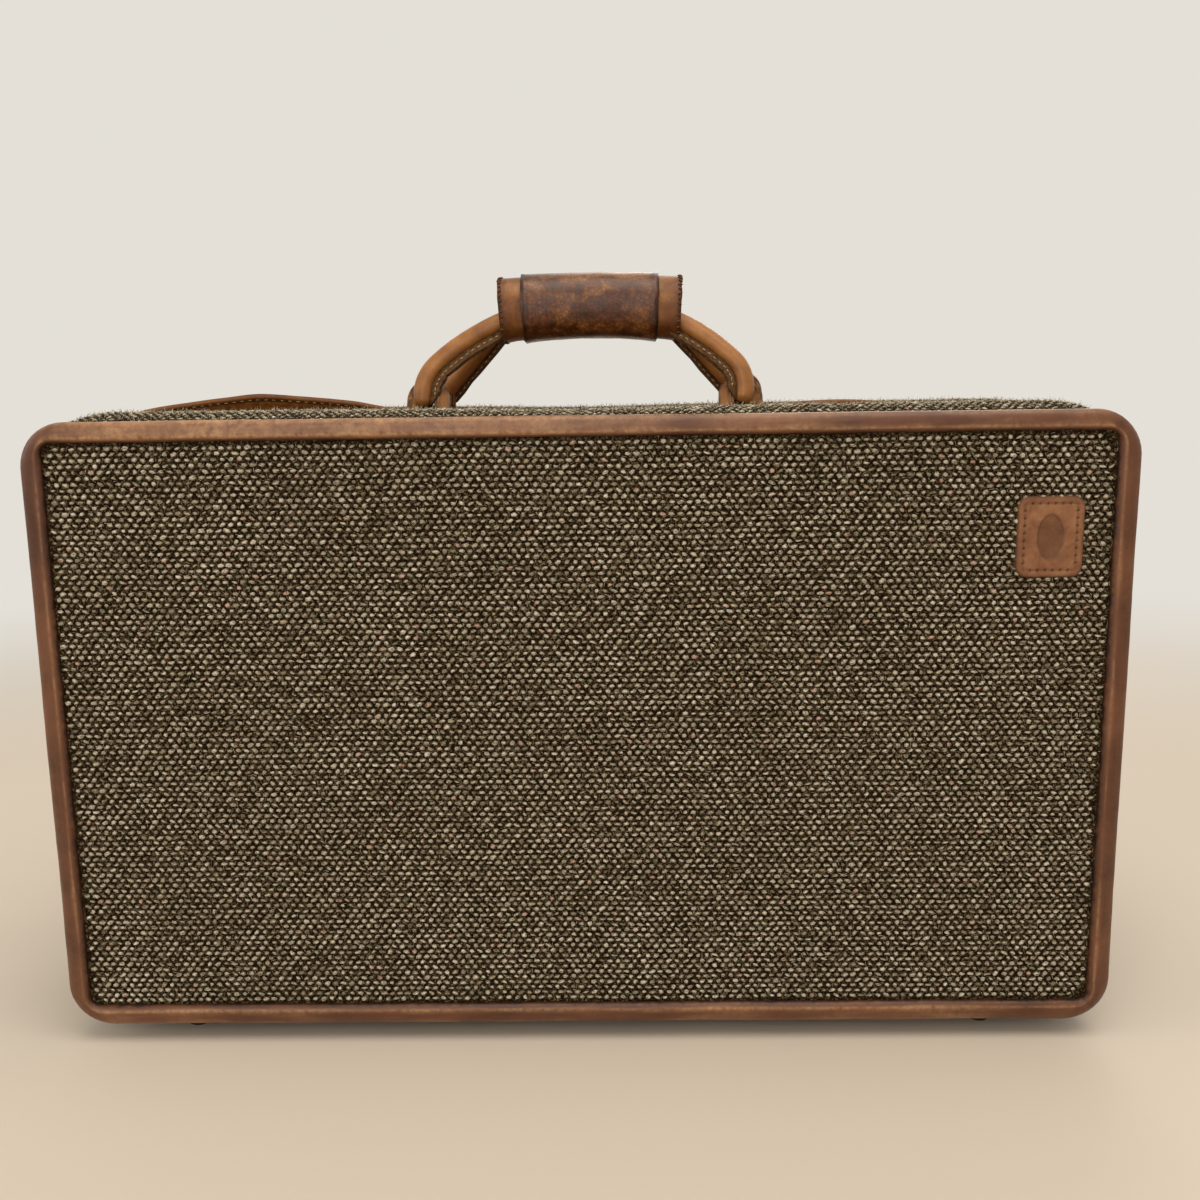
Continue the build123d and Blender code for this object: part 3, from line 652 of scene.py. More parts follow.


# Leather edge: a strip of bridle leather folded over the corner of each half and stitched down, with
# a domed outer face. Years of travel have darkened and nicked its corners. Its colour also carries
# painted shade along its inner edge and down its sides, a painted highlight along its top, and a pale
# ridge that is partly rubbed wear and partly painted highlight.
def leather(
    name, dark, middle, light, rubbed_and_highlight_colour, soiled_and_shade_colour, roughness, blotch,
    pores=0.9, coat=0.0, patchy=(0.15, 1.5), crazed=0.0,
):
    """Tanned cowhide: cloudy colour, fine pores and creases, pale where the wear attribute is high and dark
    where it is low, for rubbing and soiling and, on the leather edge, also painted highlight and painted
    shade.
    """
    made, tree, shader, place = principled(
        name, middle, roughness, {"Coat Weight": coat, "Coat Roughness": 0.3, "Specular IOR Level": 0.3}
    )
    clouds = add_node(
        tree,
        "ShaderNodeTexNoise",
        {"Vector": place, "Scale": per_mm(blotch), "Detail": 6, "Roughness": 0.62, "Distortion": 0.4},
    )
    hide = ramp(tree, clouds.outputs["Fac"], [(0.3, dark), (0.5, middle), (0.72, light)])
    wear = add_node(tree, "ShaderNodeAttribute", attribute_name="wear")
    scuffs = add_node(
        tree, "ShaderNodeTexNoise", {"Vector": place, "Scale": per_mm(5), "Detail": 8, "Roughness": 0.75}
    )
    spread = add_node(
        tree, "ShaderNodeMapRange", {0: scuffs.outputs["Fac"], 1: 0.35, 2: 0.68, 3: patchy[0], 4: patchy[1]}
    )
    # Pale: rubbing, and on the leather edge also painted highlight.
    pale = add_node(
        tree,
        "ShaderNodeMath",
        {0: wear.outputs["Fac"], 1: spread.outputs[0]},
        operation="MULTIPLY",
        use_clamp=True,
    )
    # Grime: soiling, and on the leather edge also painted shade.
    minus = add_node(tree, "ShaderNodeMath", {0: wear.outputs["Fac"], 1: -1.0}, operation="MULTIPLY")
    grime_and_painted_shade = add_node(
        tree,
        "ShaderNodeMath",
        {0: minus.outputs[0], 1: spread.outputs[0]},
        operation="MULTIPLY",
        use_clamp=True,
    )
    worn = tint(tree, tint(tree, hide, linear(rubbed_and_highlight_colour), pale.outputs[0]), linear(soiled_and_shade_colour), grime_and_painted_shade.outputs[0])
    nicks = add_node(
        tree, "ShaderNodeTexVoronoi", {"Vector": place, "Scale": per_mm(16), "Randomness": 1.0}, feature="F1"
    )
    nick = add_node(
        tree, "ShaderNodeMapRange", {0: nicks.outputs["Distance"], 1: 0.03, 2: 0.075, 3: 0.65, 4: 0.0}
    )
    marked = tint(tree, worn, linear(soiled_and_shade_colour), nick.outputs[0])
    if crazed:
        bent = add_node(
            tree, "ShaderNodeVectorMath", {0: scuffs.outputs["Color"], "Scale": 0.002}, operation="SCALE"
        )
        bent = add_node(tree, "ShaderNodeVectorMath", {0: place, 1: bent.outputs[0]}, operation="ADD")
        cells = add_node(
            tree,
            "ShaderNodeTexVoronoi",
            {"Vector": bent.outputs[0], "Scale": per_mm(2.6)},
            feature="DISTANCE_TO_EDGE",
        )
        crack = add_node(
            tree, "ShaderNodeMapRange", {0: cells.outputs["Distance"], 1: 0.02, 2: 0.22, 3: crazed, 4: 0.0}
        )
        marked = tint(tree, marked, linear(soiled_and_shade_colour), crack.outputs[0])
    tree.links.new(marked, shader.inputs["Base Color"])
    grain = add_node(tree, "ShaderNodeTexVoronoi", {"Vector": place, "Scale": per_mm(pores)}, feature="F1")
    creases = add_node(
        tree, "ShaderNodeTexNoise", {"Vector": place, "Scale": per_mm(3.5), "Detail": 7, "Roughness": 0.7}
    )
    fine = add_node(
        tree, "ShaderNodeBump", {"Strength": 0.25, "Distance": 0.0002, "Height": grain.outputs["Distance"]}
    )
    coarse = add_node(
        tree,
        "ShaderNodeBump",
        {"Strength": 0.35, "Distance": 0.0006, "Height": creases.outputs["Fac"], "Normal": fine.outputs[0]},
    )
    tree.links.new(coarse.outputs[0], shader.inputs["Normal"])
    gloss = add_node(
        tree,
        "ShaderNodeMapRange",
        {0: scuffs.outputs["Fac"], 1: 0.3, 2: 0.7, 3: roughness - 0.12, 4: roughness + 0.15},
    )
    tree.links.new(gloss.outputs[0], shader.inputs["Roughness"])
    return made


edge_leather = leather(
    "bridle_leather_rubbed", "#4d2b18", "#643d26", "#774c30", "#b18862", "#2c170d", 0.4, 60, coat=0.15
)

edge_section = [
    (11.6, 91.9), (11.7, 92.4), (11.4, 93.4), (10.8, 94.5), (9.9, 95.3), (8.9, 95.7), (7.4, 95.7),
    (5.8, 95.5), (4.2, 95.1), (2.7, 94.5), (1.4, 93.7), (0.5, 92.6), (0.1, 91.2), (0.1, 88.5),
    (0.2, 85.0), (0.5, 82.0), (1.2, 80.4), (2.2, 79.9), (2.9, 80.6), (2.9, 85.0), (2.9, 91.9), (8.0, 91.9),
]
# Wear across the section, inner edge first: painted shade at the inner edge where the leather meets the
# tweed, and a pale line on the ridge that is partly rubbed wear and partly painted highlight.
edge_wear_and_painted_light = [-1, -1, -0.8, -0.5, 0.1, 0.55, 0.12, 0, 0, 0.05, 0.2]
edge_wear_and_painted_light += [0.35, 0.25, 0.05, 0, -0.1, -0.4, -0.7, -0.8, 0, 0, 0]
edge_wide = 11.6
inner_corner = 6.0


def on_edge(x, z, out_x, out_z, deep):
    """A place moved in from the case's outline. The band's corners are tighter on its inner side."""
    corner = case_corner - deep * ((case_corner - inner_corner) / edge_wide if deep > 0 else 1)
    flat_x, flat_z = case_width / 2 - case_corner, case_height / 2 - case_corner
    along_x = (x - case_corner * out_x) * (case_width / 2 - deep - corner) / flat_x
    along_z = (z - middle_z - case_corner * out_z) * (case_height / 2 - deep - corner) / flat_z
    return along_x + corner * out_x, middle_z + along_z + corner * out_z


for half, side in halves:
    rows, wear = [], []
    for x, z, ox, oz in edge_run(6):
        corner = 1 if 0.02 < abs(ox) < 0.98 else 0
        pushed_out = min(1, 1 - oz) * 1.1 + 0.5 * max(0, ox)
        # Scuffing from noise, with painted shade down both sides and a painted highlight along the top that
        # fades out towards the right as seen from its own side; dark nicks at the corners.
        scuff_and_painted_light = 0.35 * noise.noise(Vector((x / 38 + 5, z / 38, side))) - 0.25 * abs(ox)
        scuff_and_painted_light += 0.4 * max(0, oz) * min(1, max(0, (150 - side * -x) / 200))
        scuff_and_painted_light -= 0.7 * corner * max(0, noise.noise(Vector((x / 7, z / 7, 3))))
        row = []
        for j, (inset, y) in enumerate(edge_section):
            swell = 0.25 * noise.noise(Vector((x / 55, z / 55, j / 9 + side)))
            swell += 0.1 * noise.noise(Vector((x / 9, z / 9, j / 3)))
            swell = swell if j < 18 else 0
            px, pz = on_edge(x, z, ox, oz, inset - swell - pushed_out * max(0, 1 - inset / edge_wide))
            row.append((px, side * (y + swell), pz))
            streak = noise.noise(Vector((x / 22, z / 22, j * 0.9 + 3 * side)))
            wear.append(edge_wear_and_painted_light[j] + scuff_and_painted_light + 0.25 * streak)
        rows.append(row)
    edging = mesh_piece(f"{half}_leather_edge", *swept(rows), wear=wear)
    place_piece(edging, edge_leather, f"{half}_half", "binding_leather", f"{half}_binding")


# Mouth of each half: a flat leather facing on the end of the wall, a cotton zip tape behind it and
# the row of zip teeth clamped on the tape, on the top and both ends down to 40 mm from the bottom.
facing_section = [
    (3.1, 8.4), (3.0, 7.0), (3.4, 5.8), (4.6, 5.5), (8.6, 5.5), (9.7, 5.9), (10, 7.0), (10, 8.4)
]
facing_leather = leather(
    "split_leather_facing", "#4c2b1a", "#633c28", "#754a33", "#96704f", "#2e190d", 0.6, 40
)
zip_low = 52
tape_section = [(9.95, 3.4), (9.95, 9.0), (10.0, 16.0), (10.8, 16.0), (10.85, 9.0), (10.8, 3.4)]
fuzz = {"Sheen Weight": 0.2}
tape_tones = [(0.2, "#33241a"), (0.8, "#5c4532")]
zip_cloth = grained(
    "cotton_zip_tape", "#4a3626", 0.85, 5, 0.6, tape_tones, (0.6, 0.0003), fuzz, bands="DIAGONAL"
)


def metal(name, colour, worn, roughness, scratch):
    """A worn metal: base colour broken by duller patches, with fine scratches in its gloss."""
    made, tree, shader, place = principled(name, colour, roughness, {"Metallic": 1.0})
    patches = add_node(tree, "ShaderNodeTexNoise", {"Vector": place, "Scale": per_mm(4), "Detail": 5})
    tone = ramp(tree, patches.outputs["Fac"], [(0.35, worn), (0.6, colour)])
    tree.links.new(tone, shader.inputs["Base Color"])
    lines = add_node(tree, "ShaderNodeTexNoise", {"Vector": place, "Scale": per_mm(scratch), "Detail": 6})
    dull = add_node(
        tree,
        "ShaderNodeMapRange",
        {0: lines.outputs["Fac"], 1: 0.3, 2: 0.7, 3: roughness - 0.1, 4: roughness + 0.2},
    )
    tree.links.new(dull.outputs[0], shader.inputs["Roughness"])
    bump = add_node(
        tree, "ShaderNodeBump", {"Strength": 0.15, "Distance": 0.0001, "Height": lines.outputs["Fac"]}
    )
    tree.links.new(bump.outputs[0], shader.inputs["Normal"])
    return made


# Brass, tarnished: dull golden brown with brighter rubbed spots
brass = metal("brass_tarnished", "#b08b4f", "#7d5f33", 0.38, 0.5)
# Steel, nickel plated: grey with a yellow cast and fine scratches
nickel = metal("steel_nickel_plated", "#b3aca0", "#8a8379", 0.32, 0.4)

tooth_block = [
    (-1.0, 0.9), (1.0, 0.9), (1.0, 0.2), (0.75, -0.1), (0.75, -1.75), (0.4, -2.0),
    (-0.4, -2.0), (-0.75, -1.75), (-0.75, -0.1), (-1.0, 0.2),
]


def build_tooth(made):
    """One clamped tooth: jaws over the tape and a narrower head towards the other row."""
    low = [made.verts.new((x * 0.75, y * 1.3, -1.3)) for x, y in tooth_block]
    high = [made.verts.new((x * 0.75, y * 1.3, 1.3)) for x, y in tooth_block]
    made.faces.new(low)
    made.faces.new(high)
    for i in range(len(low)):
        k = (i + 1) % len(low)
        made.faces.new((low[i], low[k], high[k], high[i]))


tooth_shape = shape_of("tooth_shape", build_tooth)
tooth_pitch = 2.5
chain_depth = 10.4
for half, side in halves:
    facing = mesh_piece(f"{half}_mouth_facing", *swept(around(facing_section, side, 10)))
    place_piece(facing, facing_leather, f"{half}_half", "binding_leather", f"{half}_mouth_trim")
    tape = mesh_piece(f"{half}_zip_cloth", *swept(around(tape_section, side, 10, above=zip_low), loop=False))
    place_piece(tape, zip_cloth, f"{half}_half", "zip_cloth", f"{half}_zip_tape")
    places = []
    rest = 0.0 if side < 0 else tooth_pitch / 2
    run = [spot for spot in edge_run(2.5) if spot[1] >= zip_low]
    for (x, z, ox, oz), (x2, z2, ox2, oz2) in zip(run, run[1:]):
        ax, az = x - ox * chain_depth, z - oz * chain_depth
        bx, bz = x2 - ox2 * chain_depth, z2 - oz2 * chain_depth
        step = sqrt((bx - ax) ** 2 + (bz - az) ** 2)
        while rest < step:
            share = rest / step
            spot = (ax + (bx - ax) * share, side * 2.1, az + (bz - az) * share)
            places.append((spot, ((bx - ax) / step, 0, (bz - az) / step), (ox, 0, oz)))
            rest += tooth_pitch
        rest -= step
    flip = [(spot, tuple(side * v for v in run_way), out) for spot, run_way, out in places]
    teeth = repeated(
        f"{half}_zip_row", flip, tooth_shape, (1, 1, 1), (1, 1, 1), (0.02, 0.02, 0.03), 71, brass
    )
    place_piece(teeth, None, f"{half}_half", "zip_metal", f"{half}_zip_teeth")
dress(brass, "zip_slider_left", "zip_slider_right", "zip_pull_left", "zip_pull_right")


# Linings: thin cotton glued over card, a tray that follows the wall and covers the board. The cloth
# is a warm tan with a fine woven rib.
lining_cotton, tree, shader, place = principled("cotton_lining", "#a88a62", 0.85, {"Sheen Weight": 0.2})
weave = add_node(
    tree, "ShaderNodeTexWave", {"Vector": place, "Scale": per_mm(6), "Distortion": 0.4}, bands_direction="X"
)
cross = add_node(
    tree, "ShaderNodeTexWave", {"Vector": place, "Scale": per_mm(6), "Distortion": 0.4}, bands_direction="Z"
)
both = add_node(tree, "ShaderNodeMath", {0: weave.outputs["Fac"], 1: cross.outputs["Fac"]}, operation="ADD")
soft = add_node(tree, "ShaderNodeTexNoise", {"Vector": place, "Scale": per_mm(60), "Detail": 3})
cotton_tone = ramp(tree, soft.outputs["Fac"], [(0.2, "#9f835d"), (0.8, "#ab8e66")])
thread_tone = ramp(tree, both.outputs[0], [(0.2, "#cdc6ba"), (0.9, "#ffffff")])
tree.links.new(tint(tree, cotton_tone, thread_tone, 0.8, "MULTIPLY"), shader.inputs["Base Color"])
bump = add_node(tree, "ShaderNodeBump", {"Strength": 0.4, "Distance": 0.0003, "Height": both.outputs[0]})
tree.links.new(bump.outputs[0], shader.inputs["Normal"])

board_y = 86.5
lining_deep = 12.5
for half, side in halves:
    inner = [
        (lining_deep + 1, board_y - 1), (lining_deep + 1, 60), (lining_deep + 1, 40), (lining_deep + 1, 18.5)
    ]
    outer = [(lining_deep, 18.5), (lining_deep, 40), (lining_deep, 60), (lining_deep, board_y)]
    rows = around(inner + outer, side, 10)
    for row in rows:
        for j in (1, 2):
            x, y, z = row[j]
            push = 0.8 + 0.6 * noise.noise(Vector((x / 30, y / 20, z / 30)))
            row[j] = (x * (1 - push / 620), y, middle_z + (z - middle_z) * (1 - push / 360))
    points, faces = swept(rows)
    wide = len(rows[0])
    faces = [face for number, face in enumerate(faces) if number % wide != wide - 1]
    faces.append(tuple(i * wide for i in range(len(rows))))
    faces.append(tuple(i * wide + wide - 1 for i in range(len(rows))))
    tray = mesh_piece(f"{half}_lining_tray", points, faces, smooth=False)
    place_piece(tray, lining_cotton, f"{half}_half", "lining_cloth", f"{half}_lining")

# A strip of the zip's tape stands behind the closed teeth, glued to the rear lining.
guard_section = [
    (13.55, 26), (13.7, 18.5), (14.2, 8), (14.0, 0), (13.9, -5),
    (14.4, -5), (14.5, 0), (14.7, 8), (14.2, 18.5), (14.05, 26),
]
guard = mesh_piece("zip_guard", *swept(around(guard_section, 1, 10, above=29), loop=False))
place_piece(guard, zip_cloth, "rear_half", "zip_cloth")


# Hinge, feet and fastenings: a plated steel piano hinge, black rubber feet with screws, and the
# plates and rivets that hold the handles. Their solids are right, and get their metals.
rubber_tones = [(0.4, "#15120f"), (0.75, "#3c352c")]
rubber = grained("black_rubber_moulded", "#1d1a17", 0.6, 2, 6, rubber_tones, (0.3, 0.0003))
for half in ("front", "rear"):
    dress(rubber, f"{half}_feet")
    dress(
        nickel, f"{half}_foot_screws", f"{half}_hinge_leaf", f"{half}_hinge_rivets", f"{half}_handle_plates"
    )
    dress(brass, f"{half}_handle_rivets")
dress(nickel, "hinge_pin", "strap_buckles")


# Arches: each is a strap of thick harness leather in two plies, bent over to a loop, with a tab at
# each foot riveted through the tweed. A pin in it carries the handle. The front pair has been pulled
# round and leans to the middle.
handle_middle = 6
arch_middle = {-1: 2.8, 1: 3.6}
arch_reach = {-1: 96.3, 1: 98.0}
deck_z = 369
harness_leather = leather(
    "harness_leather_bent", "#7d4f26", "#9b6a3c", "#b07f4c", "#c79a68", "#43270f", 0.5, 22
)
cut_edge = leather(
    "leather_cut_edge", "#33200d", "#54381c", "#735230", "#8f6c42", "#1f1206", 0.8, 2.2, pores=0.5
)


arch_turn = {-1: radians(33), 1: radians(6)}
arch_lean = {-1: radians(30), 1: radians(4)}
arch_leg = 14


def arch_place(hand, side, a, w, v):
    """A point of an arch: along its plane towards the middle of the case, across it, and up it."""
    return (
        arch_middle[side]
        + hand * (arch_reach[side] - a * cos(arch_turn[side]) + side * w * sin(arch_turn[side])),
        side * (20 - v * sin(arch_lean[side]) + a * sin(arch_turn[side])) + w * cos(arch_turn[side]),
        deck_z + v * cos(arch_lean[side]),
    )


def arch_rows(hand, side, inner, outer):
    """Rows and wear of a bent ply: a leg, the bow over the top and the other leg, with rounded edges."""
    rows, wear = [], []
    stations = [(1, 0, -2.5), (1, 0, 2.0), (1, 0, 5.0), (1, 0, 8.5)]
    stations += [(cos(radians(turn)), sin(radians(turn)), arch_leg) for turn in range(0, 181, 10)]
    stations += [(-1, 0, 8.5), (-1, 0, 5.0), (-1, 0, 2.0), (-1, 0, -2.5)]
    for ox, oz, up in stations:
        half_wide = 4.0 + (1.7 if ox > 0 else 0.3) * exp(-(((up + 9 * oz - 11) / 8) ** 2))
        row = []
        for deep, across in (
            (inner, -1), (inner - 0.25, -0.4), (inner - 0.25, 0.4), (inner, 1),
            (inner + 0.5, 1.06), (outer - 0.5, 1.06), (outer - 0.1, 0.95), (outer + 0.2, 0.4),
            (outer + 0.2, -0.4), (outer - 0.1, -0.95), (outer - 0.5, -1.06), (inner + 0.5, -1.06),
        ):
            row.append(arch_place(hand, side, deep * ox, across * half_wide, up + deep * oz))
            wear.append(-0.9 if abs(across) > 0.94 else 0.3 * noise.noise(Vector((deep * ox, up, side))))
        rows.append(row)
    return rows, wear


def stadium(start, end, radius, low, high):
    """A rounded leather tab between two places, with its upper edge eased."""
    (x0, y0), (x1, y1) = start, end
    heading = Vector((x1 - x0, y1 - y0)).angle_signed(Vector((1, 0)))
    rows = []
    for z, reach in ((low, radius), (high - 0.6, radius), (high - 0.1, radius - 0.5), (high, radius - 1.1)):
        row = []
        for n in range(24):
            turn = heading - pi / 2 + 2 * pi * n / 24
            x, y = (x1, y1) if n < 12 else (x0, y0)
            row.append((x + reach * cos(turn), y + reach * sin(turn), z))
        rows.append(row)
    return swept(rows, loop=False)


for half, side in halves:
    for label, hand in (("left", -1), ("right", 1)):
        for ply, inner, outer in (("inside", 10.1, 11.7), ("outside", 11.9, 13.5)):
            rows, wear = arch_rows(hand, side, inner, outer)
            made = mesh_piece(f"{half}_arch_{label}_{ply}_ply", *swept(rows, loop=False), wear=wear)
            stands_for = [f"{half}_handle_arches"] if (ply, hand) == ("inside", -1) else []
            place_piece(made, harness_leather, f"{half}_half", "handle_leather", *stands_for)
        for end, where in ((1, "inner"), (-1, "outer")):
            foot = arch_place(hand, side, 11.8 * end, 0, 0.5)[:2]
            rivet = (handle_middle + hand * (95.3 - end * 20.8), side * 20)
            tab = mesh_piece(
                f"{half}_arch_{label}_{where}_tab", *stadium(foot, rivet, 4.4, deck_z - 0.2, deck_z + 2.8)
            )
            place_piece(tab, harness_leather, f"{half}_half", "handle_leather")
        rows = []
        for a in (-11.6, -11.4, -6, 0, 6, 11.4, 11.6):
            x, y, _ = arch_place(hand, side, a, 0, 0)
            thick = 0.9 if abs(a) > 11.5 else 1.6
            rows.append(
                [
                    (x, y - side * 2 + thick * cos(2 * pi * n / 12), 376 + thick * sin(2 * pi * n / 12))
                    for n in range(12)
                ]
            )
        pin = mesh_piece(f"{half}_arch_{label}_pin", *swept(rows, loop=False))
        place_piece(pin, brass, f"{half}_half", "steel", *([f"{half}_handle_pins"] if hand < 0 else []))


# Handles: russet leather rolled round a rope core, its raw edges pressed together and sewn into a
# welt. Each strap leans to the middle, narrows at the arches and turns on their pins.
strap_r = 6.2
lean = radians(13.3)


def strap_place(side, u, v):
    """A point of a strap's leaning plane, from its distance along the case and up the strap."""
    root = 8 + 63.2 * sin(lean)
    slide = -4.0 * max(0, 1 - v / 60) if side < 0 else 0
    return Vector((handle_middle + slide + u, side * (root - v * sin(lean)), 376 + v * cos(lean)))


def arc(middle, radius, start, end, steps):
    """Points of an arc in a strap's plane, without the first."""
    turns = [start + (end - start) * n / steps for n in range(1, steps + 1)]
    return [(middle[0] + radius * cos(turn), middle[1] + radius * sin(turn)) for turn in turns]


def front_line():
    """The front strap's middle line: straight legs, tight bends and a wide bow."""
    bow_mid = 63.2 - 130
    bend_v = bow_mid + sqrt((130 - 25) ** 2 - 72.5**2)
    turn = asin((bend_v - bow_mid) / (130 - 25))
    line = [(96.4, 1.0), (97.2, 4.5), (97.5, bend_v)]
    line += arc((72.5, bend_v), 25, 0, turn, 12)
    line += arc((0, bow_mid), 130, turn, pi / 2, 14)
    return line + [(-u, v) for u, v in reversed(line[:-1])]


def rear_line():
    """The rear strap's middle line: sloping legs, wide bends and a level top."""
    foot = Vector((96.5, 5))
    shoulder = Vector((46.5, 61.7))
    down_leg = (foot - shoulder).normalized()
    turn_angle = pi - Vector((-1, 0)).angle(down_leg)
    tangent = 42 * sin(turn_angle / 2) / cos(turn_angle / 2)
    begin = shoulder + down_leg * tangent
    middle = (46.5 - tangent, 61.7 - 42)
    start = pi / 2 - turn_angle
    line = [(95.6, 0.6), (95.4, 4.0)]
    legs = Vector((93.0, 9.0))
    line += [tuple(legs + (begin - legs) * n / 6) for n in range(7)]
    line += arc(middle, 42, start, pi / 2, 12)
    line += [(line[-1][0] * (1 - n / 4), 61.7) for n in range(1, 5)]
    return line + [(-u, v) for u, v in reversed(line[:-1])]


def strap_frames(side, line):
    """Places along a strap with the ways along it, to its inside and to the front or back."""
    out = Vector((0, side * cos(lean), sin(lean)))
    frames = []
    for n, (u, v) in enumerate(line):
        before, after = line[max(n - 1, 0)], line[min(n + 1, len(line) - 1)]
        along = (strap_place(side, *after) - strap_place(side, *before)).normalized()
        inside = out.cross(along).normalized()
        if inside.dot(strap_place(side, 0, 20) - strap_place(side, u, v)) < 0:
            inside = -inside
        frames.append((strap_place(side, u, v), along, inside, out))
    return frames


def thickness(v):
    """A strap's radius at a height, thinner where it nears the pin."""
    return strap_r - 1.7 * max(0, 1 - v / 9) ** 1.3


strap_leather = leather(
    "russet_leather_rolled", "#7c4c1f", "#9c6630", "#b07a41", "#c99a63", "#4d2c0f", 0.4, 26, coat=0.15
)
thread_tones = [(0.35, "#7c6038"), (0.65, "#c8b080")]
waxed_thread = grained("linen_thread_waxed", "#b39763", 0.6, 0.8, 3, thread_tones, (0.5, 0.0002))
stitch_shape = shape_of(
    "stitch_shape", lambda made: bmesh.ops.create_icosphere(made, subdivisions=1, radius=1)
)

for half, side, line, welt_turn, welt in (
    ("front", -1, front_line(), 0.3, 5.0),
    ("rear", 1, rear_line(), -0.3, 3.0),
):
    frames = strap_frames(side, line)
    rows, wear, welt_rows, second_rows = [], [], [], []
    length = 0
    for n, ((u, v), (at, along, inside, out)) in enumerate(zip(line, frames)):
        radius = thickness(v)
        row = []
        for j in range(20):
            turn = 2 * pi * j / 20
            off = (turn - welt_turn + pi) % (2 * pi) - pi
            bulge = radius * (
                1 + 0.02 * noise.noise(Vector((u / 12, v / 12, j / 3)))
            ) - 0.9 * exp(-((off / 0.32) ** 2))
            row.append(tuple(at + inside * (bulge * cos(turn)) + out * (bulge * sin(turn))))
            wear.append(
                -0.55 * exp(-((off / 0.5) ** 2)) + 0.25 * noise.noise(Vector((u / 17, v / 17, j / 5)))
            )
        rows.append(row)
        way = inside * cos(welt_turn) + out * sin(welt_turn)
        aside = out * cos(welt_turn) - inside * sin(welt_turn)
        in_wrap = min(1, max(0.05, (abs(u) - 49) / 7))
        reach = radius + (welt + 0.9 * noise.noise(Vector((u / 4, v / 4, side)))) * min(1, v / 8) * in_wrap
        for ply, target in ((0.85, welt_rows), (-0.85, second_rows)):
            ragged = 0.6 * noise.noise(Vector((u / 2.5, v / 2.5, ply + side))) * in_wrap
            root, tip = radius - 2.2, reach + ragged
            corners = (
                (root, -0.75), (tip - 0.4, -0.75), (tip, -0.4), (tip, 0.4), (tip - 0.4, 0.75), (root, 0.75)
            )
            target.append([tuple(at + way * a + aside * (b + ply)) for a, b in corners])
    tube = mesh_piece(f"{half}_handle_roll", *swept(rows, loop=False), wear=wear)
    place_piece(tube, strap_leather, f"{half}_handle", "handle_leather", f"{half}_handle_strap")
    for label, ply_rows in (("near", welt_rows), ("far", second_rows)):
        ply = mesh_piece(f"{half}_handle_welt_{label}", *swept(ply_rows, loop=False))
        place_piece(ply, cut_edge, f"{half}_handle", "handle_leather")
    spots = []
    rest = 2.0
    for n in range(len(frames) - 1):
        (at, along, inside, out), (after, *_) = frames[n], frames[n + 1]
        step = (after - at).length
        way = inside * cos(welt_turn) + out * sin(welt_turn)
        aside = out * cos(welt_turn) - inside * sin(welt_turn)
        if line[n][1] < 6:
            continue
        while rest < step:
            for face in (1, -1):
                spot = at + along * rest + way * (strap_r + 0.45 * welt) + aside * (face * 1.6)
                spots.append((tuple(spot), tuple(along), tuple(aside * face)))
            rest += 4.4
        rest -= step
    row = repeated(
        f"{half}_handle_stitches",
        spots,
        stitch_shape,
        (1.25, 0.34, 0.3),
        (1.6, 0.42, 0.38),
        (0.1, 0.1, 0.2),
        91,
        waxed_thread,
    )
    place_piece(row, None, f"{half}_handle", "handle_leather")


# Wrap: two layers of leather bent round both grips, sewn at the back and closed under the front with
# snaps. The inner layer is lighter and shows at both ends, and the outer band is dark with handling.
def wrap_frame(along):
    """The middle of the wrap at a distance along it, and the ways along and up there."""
    angle = along / 900
    middle = Vector((7.1 + 900 * sin(angle), 0, 437 - 900 * (1 - cos(angle))))
    return middle, Vector((cos(angle), 0, -sin(angle))), Vector((sin(angle), 0, cos(angle)))


def sleeve(length, bore_y, bore_z, wall, start, end, seed, flare):
    """A bent leather sheet: rows along the wrap, each an arc from one edge to the other with a wall."""
    rows, wear = [], []
    count = ceil(length / 2.5)
    arc_count = 30 if end - start > pi else 14
    for n in range(count + 1):
        along = (n / count - 0.5) * length
        near_end = max(0, 1 - (length / 2 - abs(along)) / 9)
        outside, inside = [], []
        for j in range(arc_count + 1):
            turn = start + (end - start) * j / arc_count
            ragged = 0.9 * noise.noise(Vector((turn * 3, seed, 2))) * (
                near_end if abs(along) > length / 2 - 6 else 0
            )
            middle, _, up = wrap_frame(along + ragged * (1 if along > 0 else -1))
            ripple = 0.45 * noise.noise(Vector((along / 13, turn * 1.6, seed))) + 0.2 * noise.noise(
                Vector((along / 4, turn * 4, seed))
            )
            waist = -0.35 * (1 - (2 * along / length) ** 2) + flare * near_end**2
            power = 3.0 if sin(turn) < 0 else 2.3
            square = (abs(cos(turn)) ** power + abs(sin(turn)) ** power) ** (-1 / power)
            for target, more in ((outside, wall + ripple * 0.6 + waist), (inside, 0.0)):
                across = (bore_y + more) * cos(turn) * square
                sag = 1 + (0.08 if sin(turn) < 0 else -0.03) * (2 * along / 110) ** 2
                rise = (bore_z + more) * sin(turn) * square * sag
                target.append(tuple(middle + Vector((0, across, 0)) + up * rise))
        rows.append(outside + inside[::-1])
        edge = 0.9 * near_end**3
        values = []
        for j in range(arc_count + 1):
            turn = start + (end - start) * j / arc_count
            patchy = noise.noise(Vector((along / 16, turn * 2.2, seed + 4)))
            values.append(0.55 * patchy - edge + 0.25 * max(0, sin(turn)))
        wear += values + [-0.3] * (arc_count + 1)
    return rows, wear


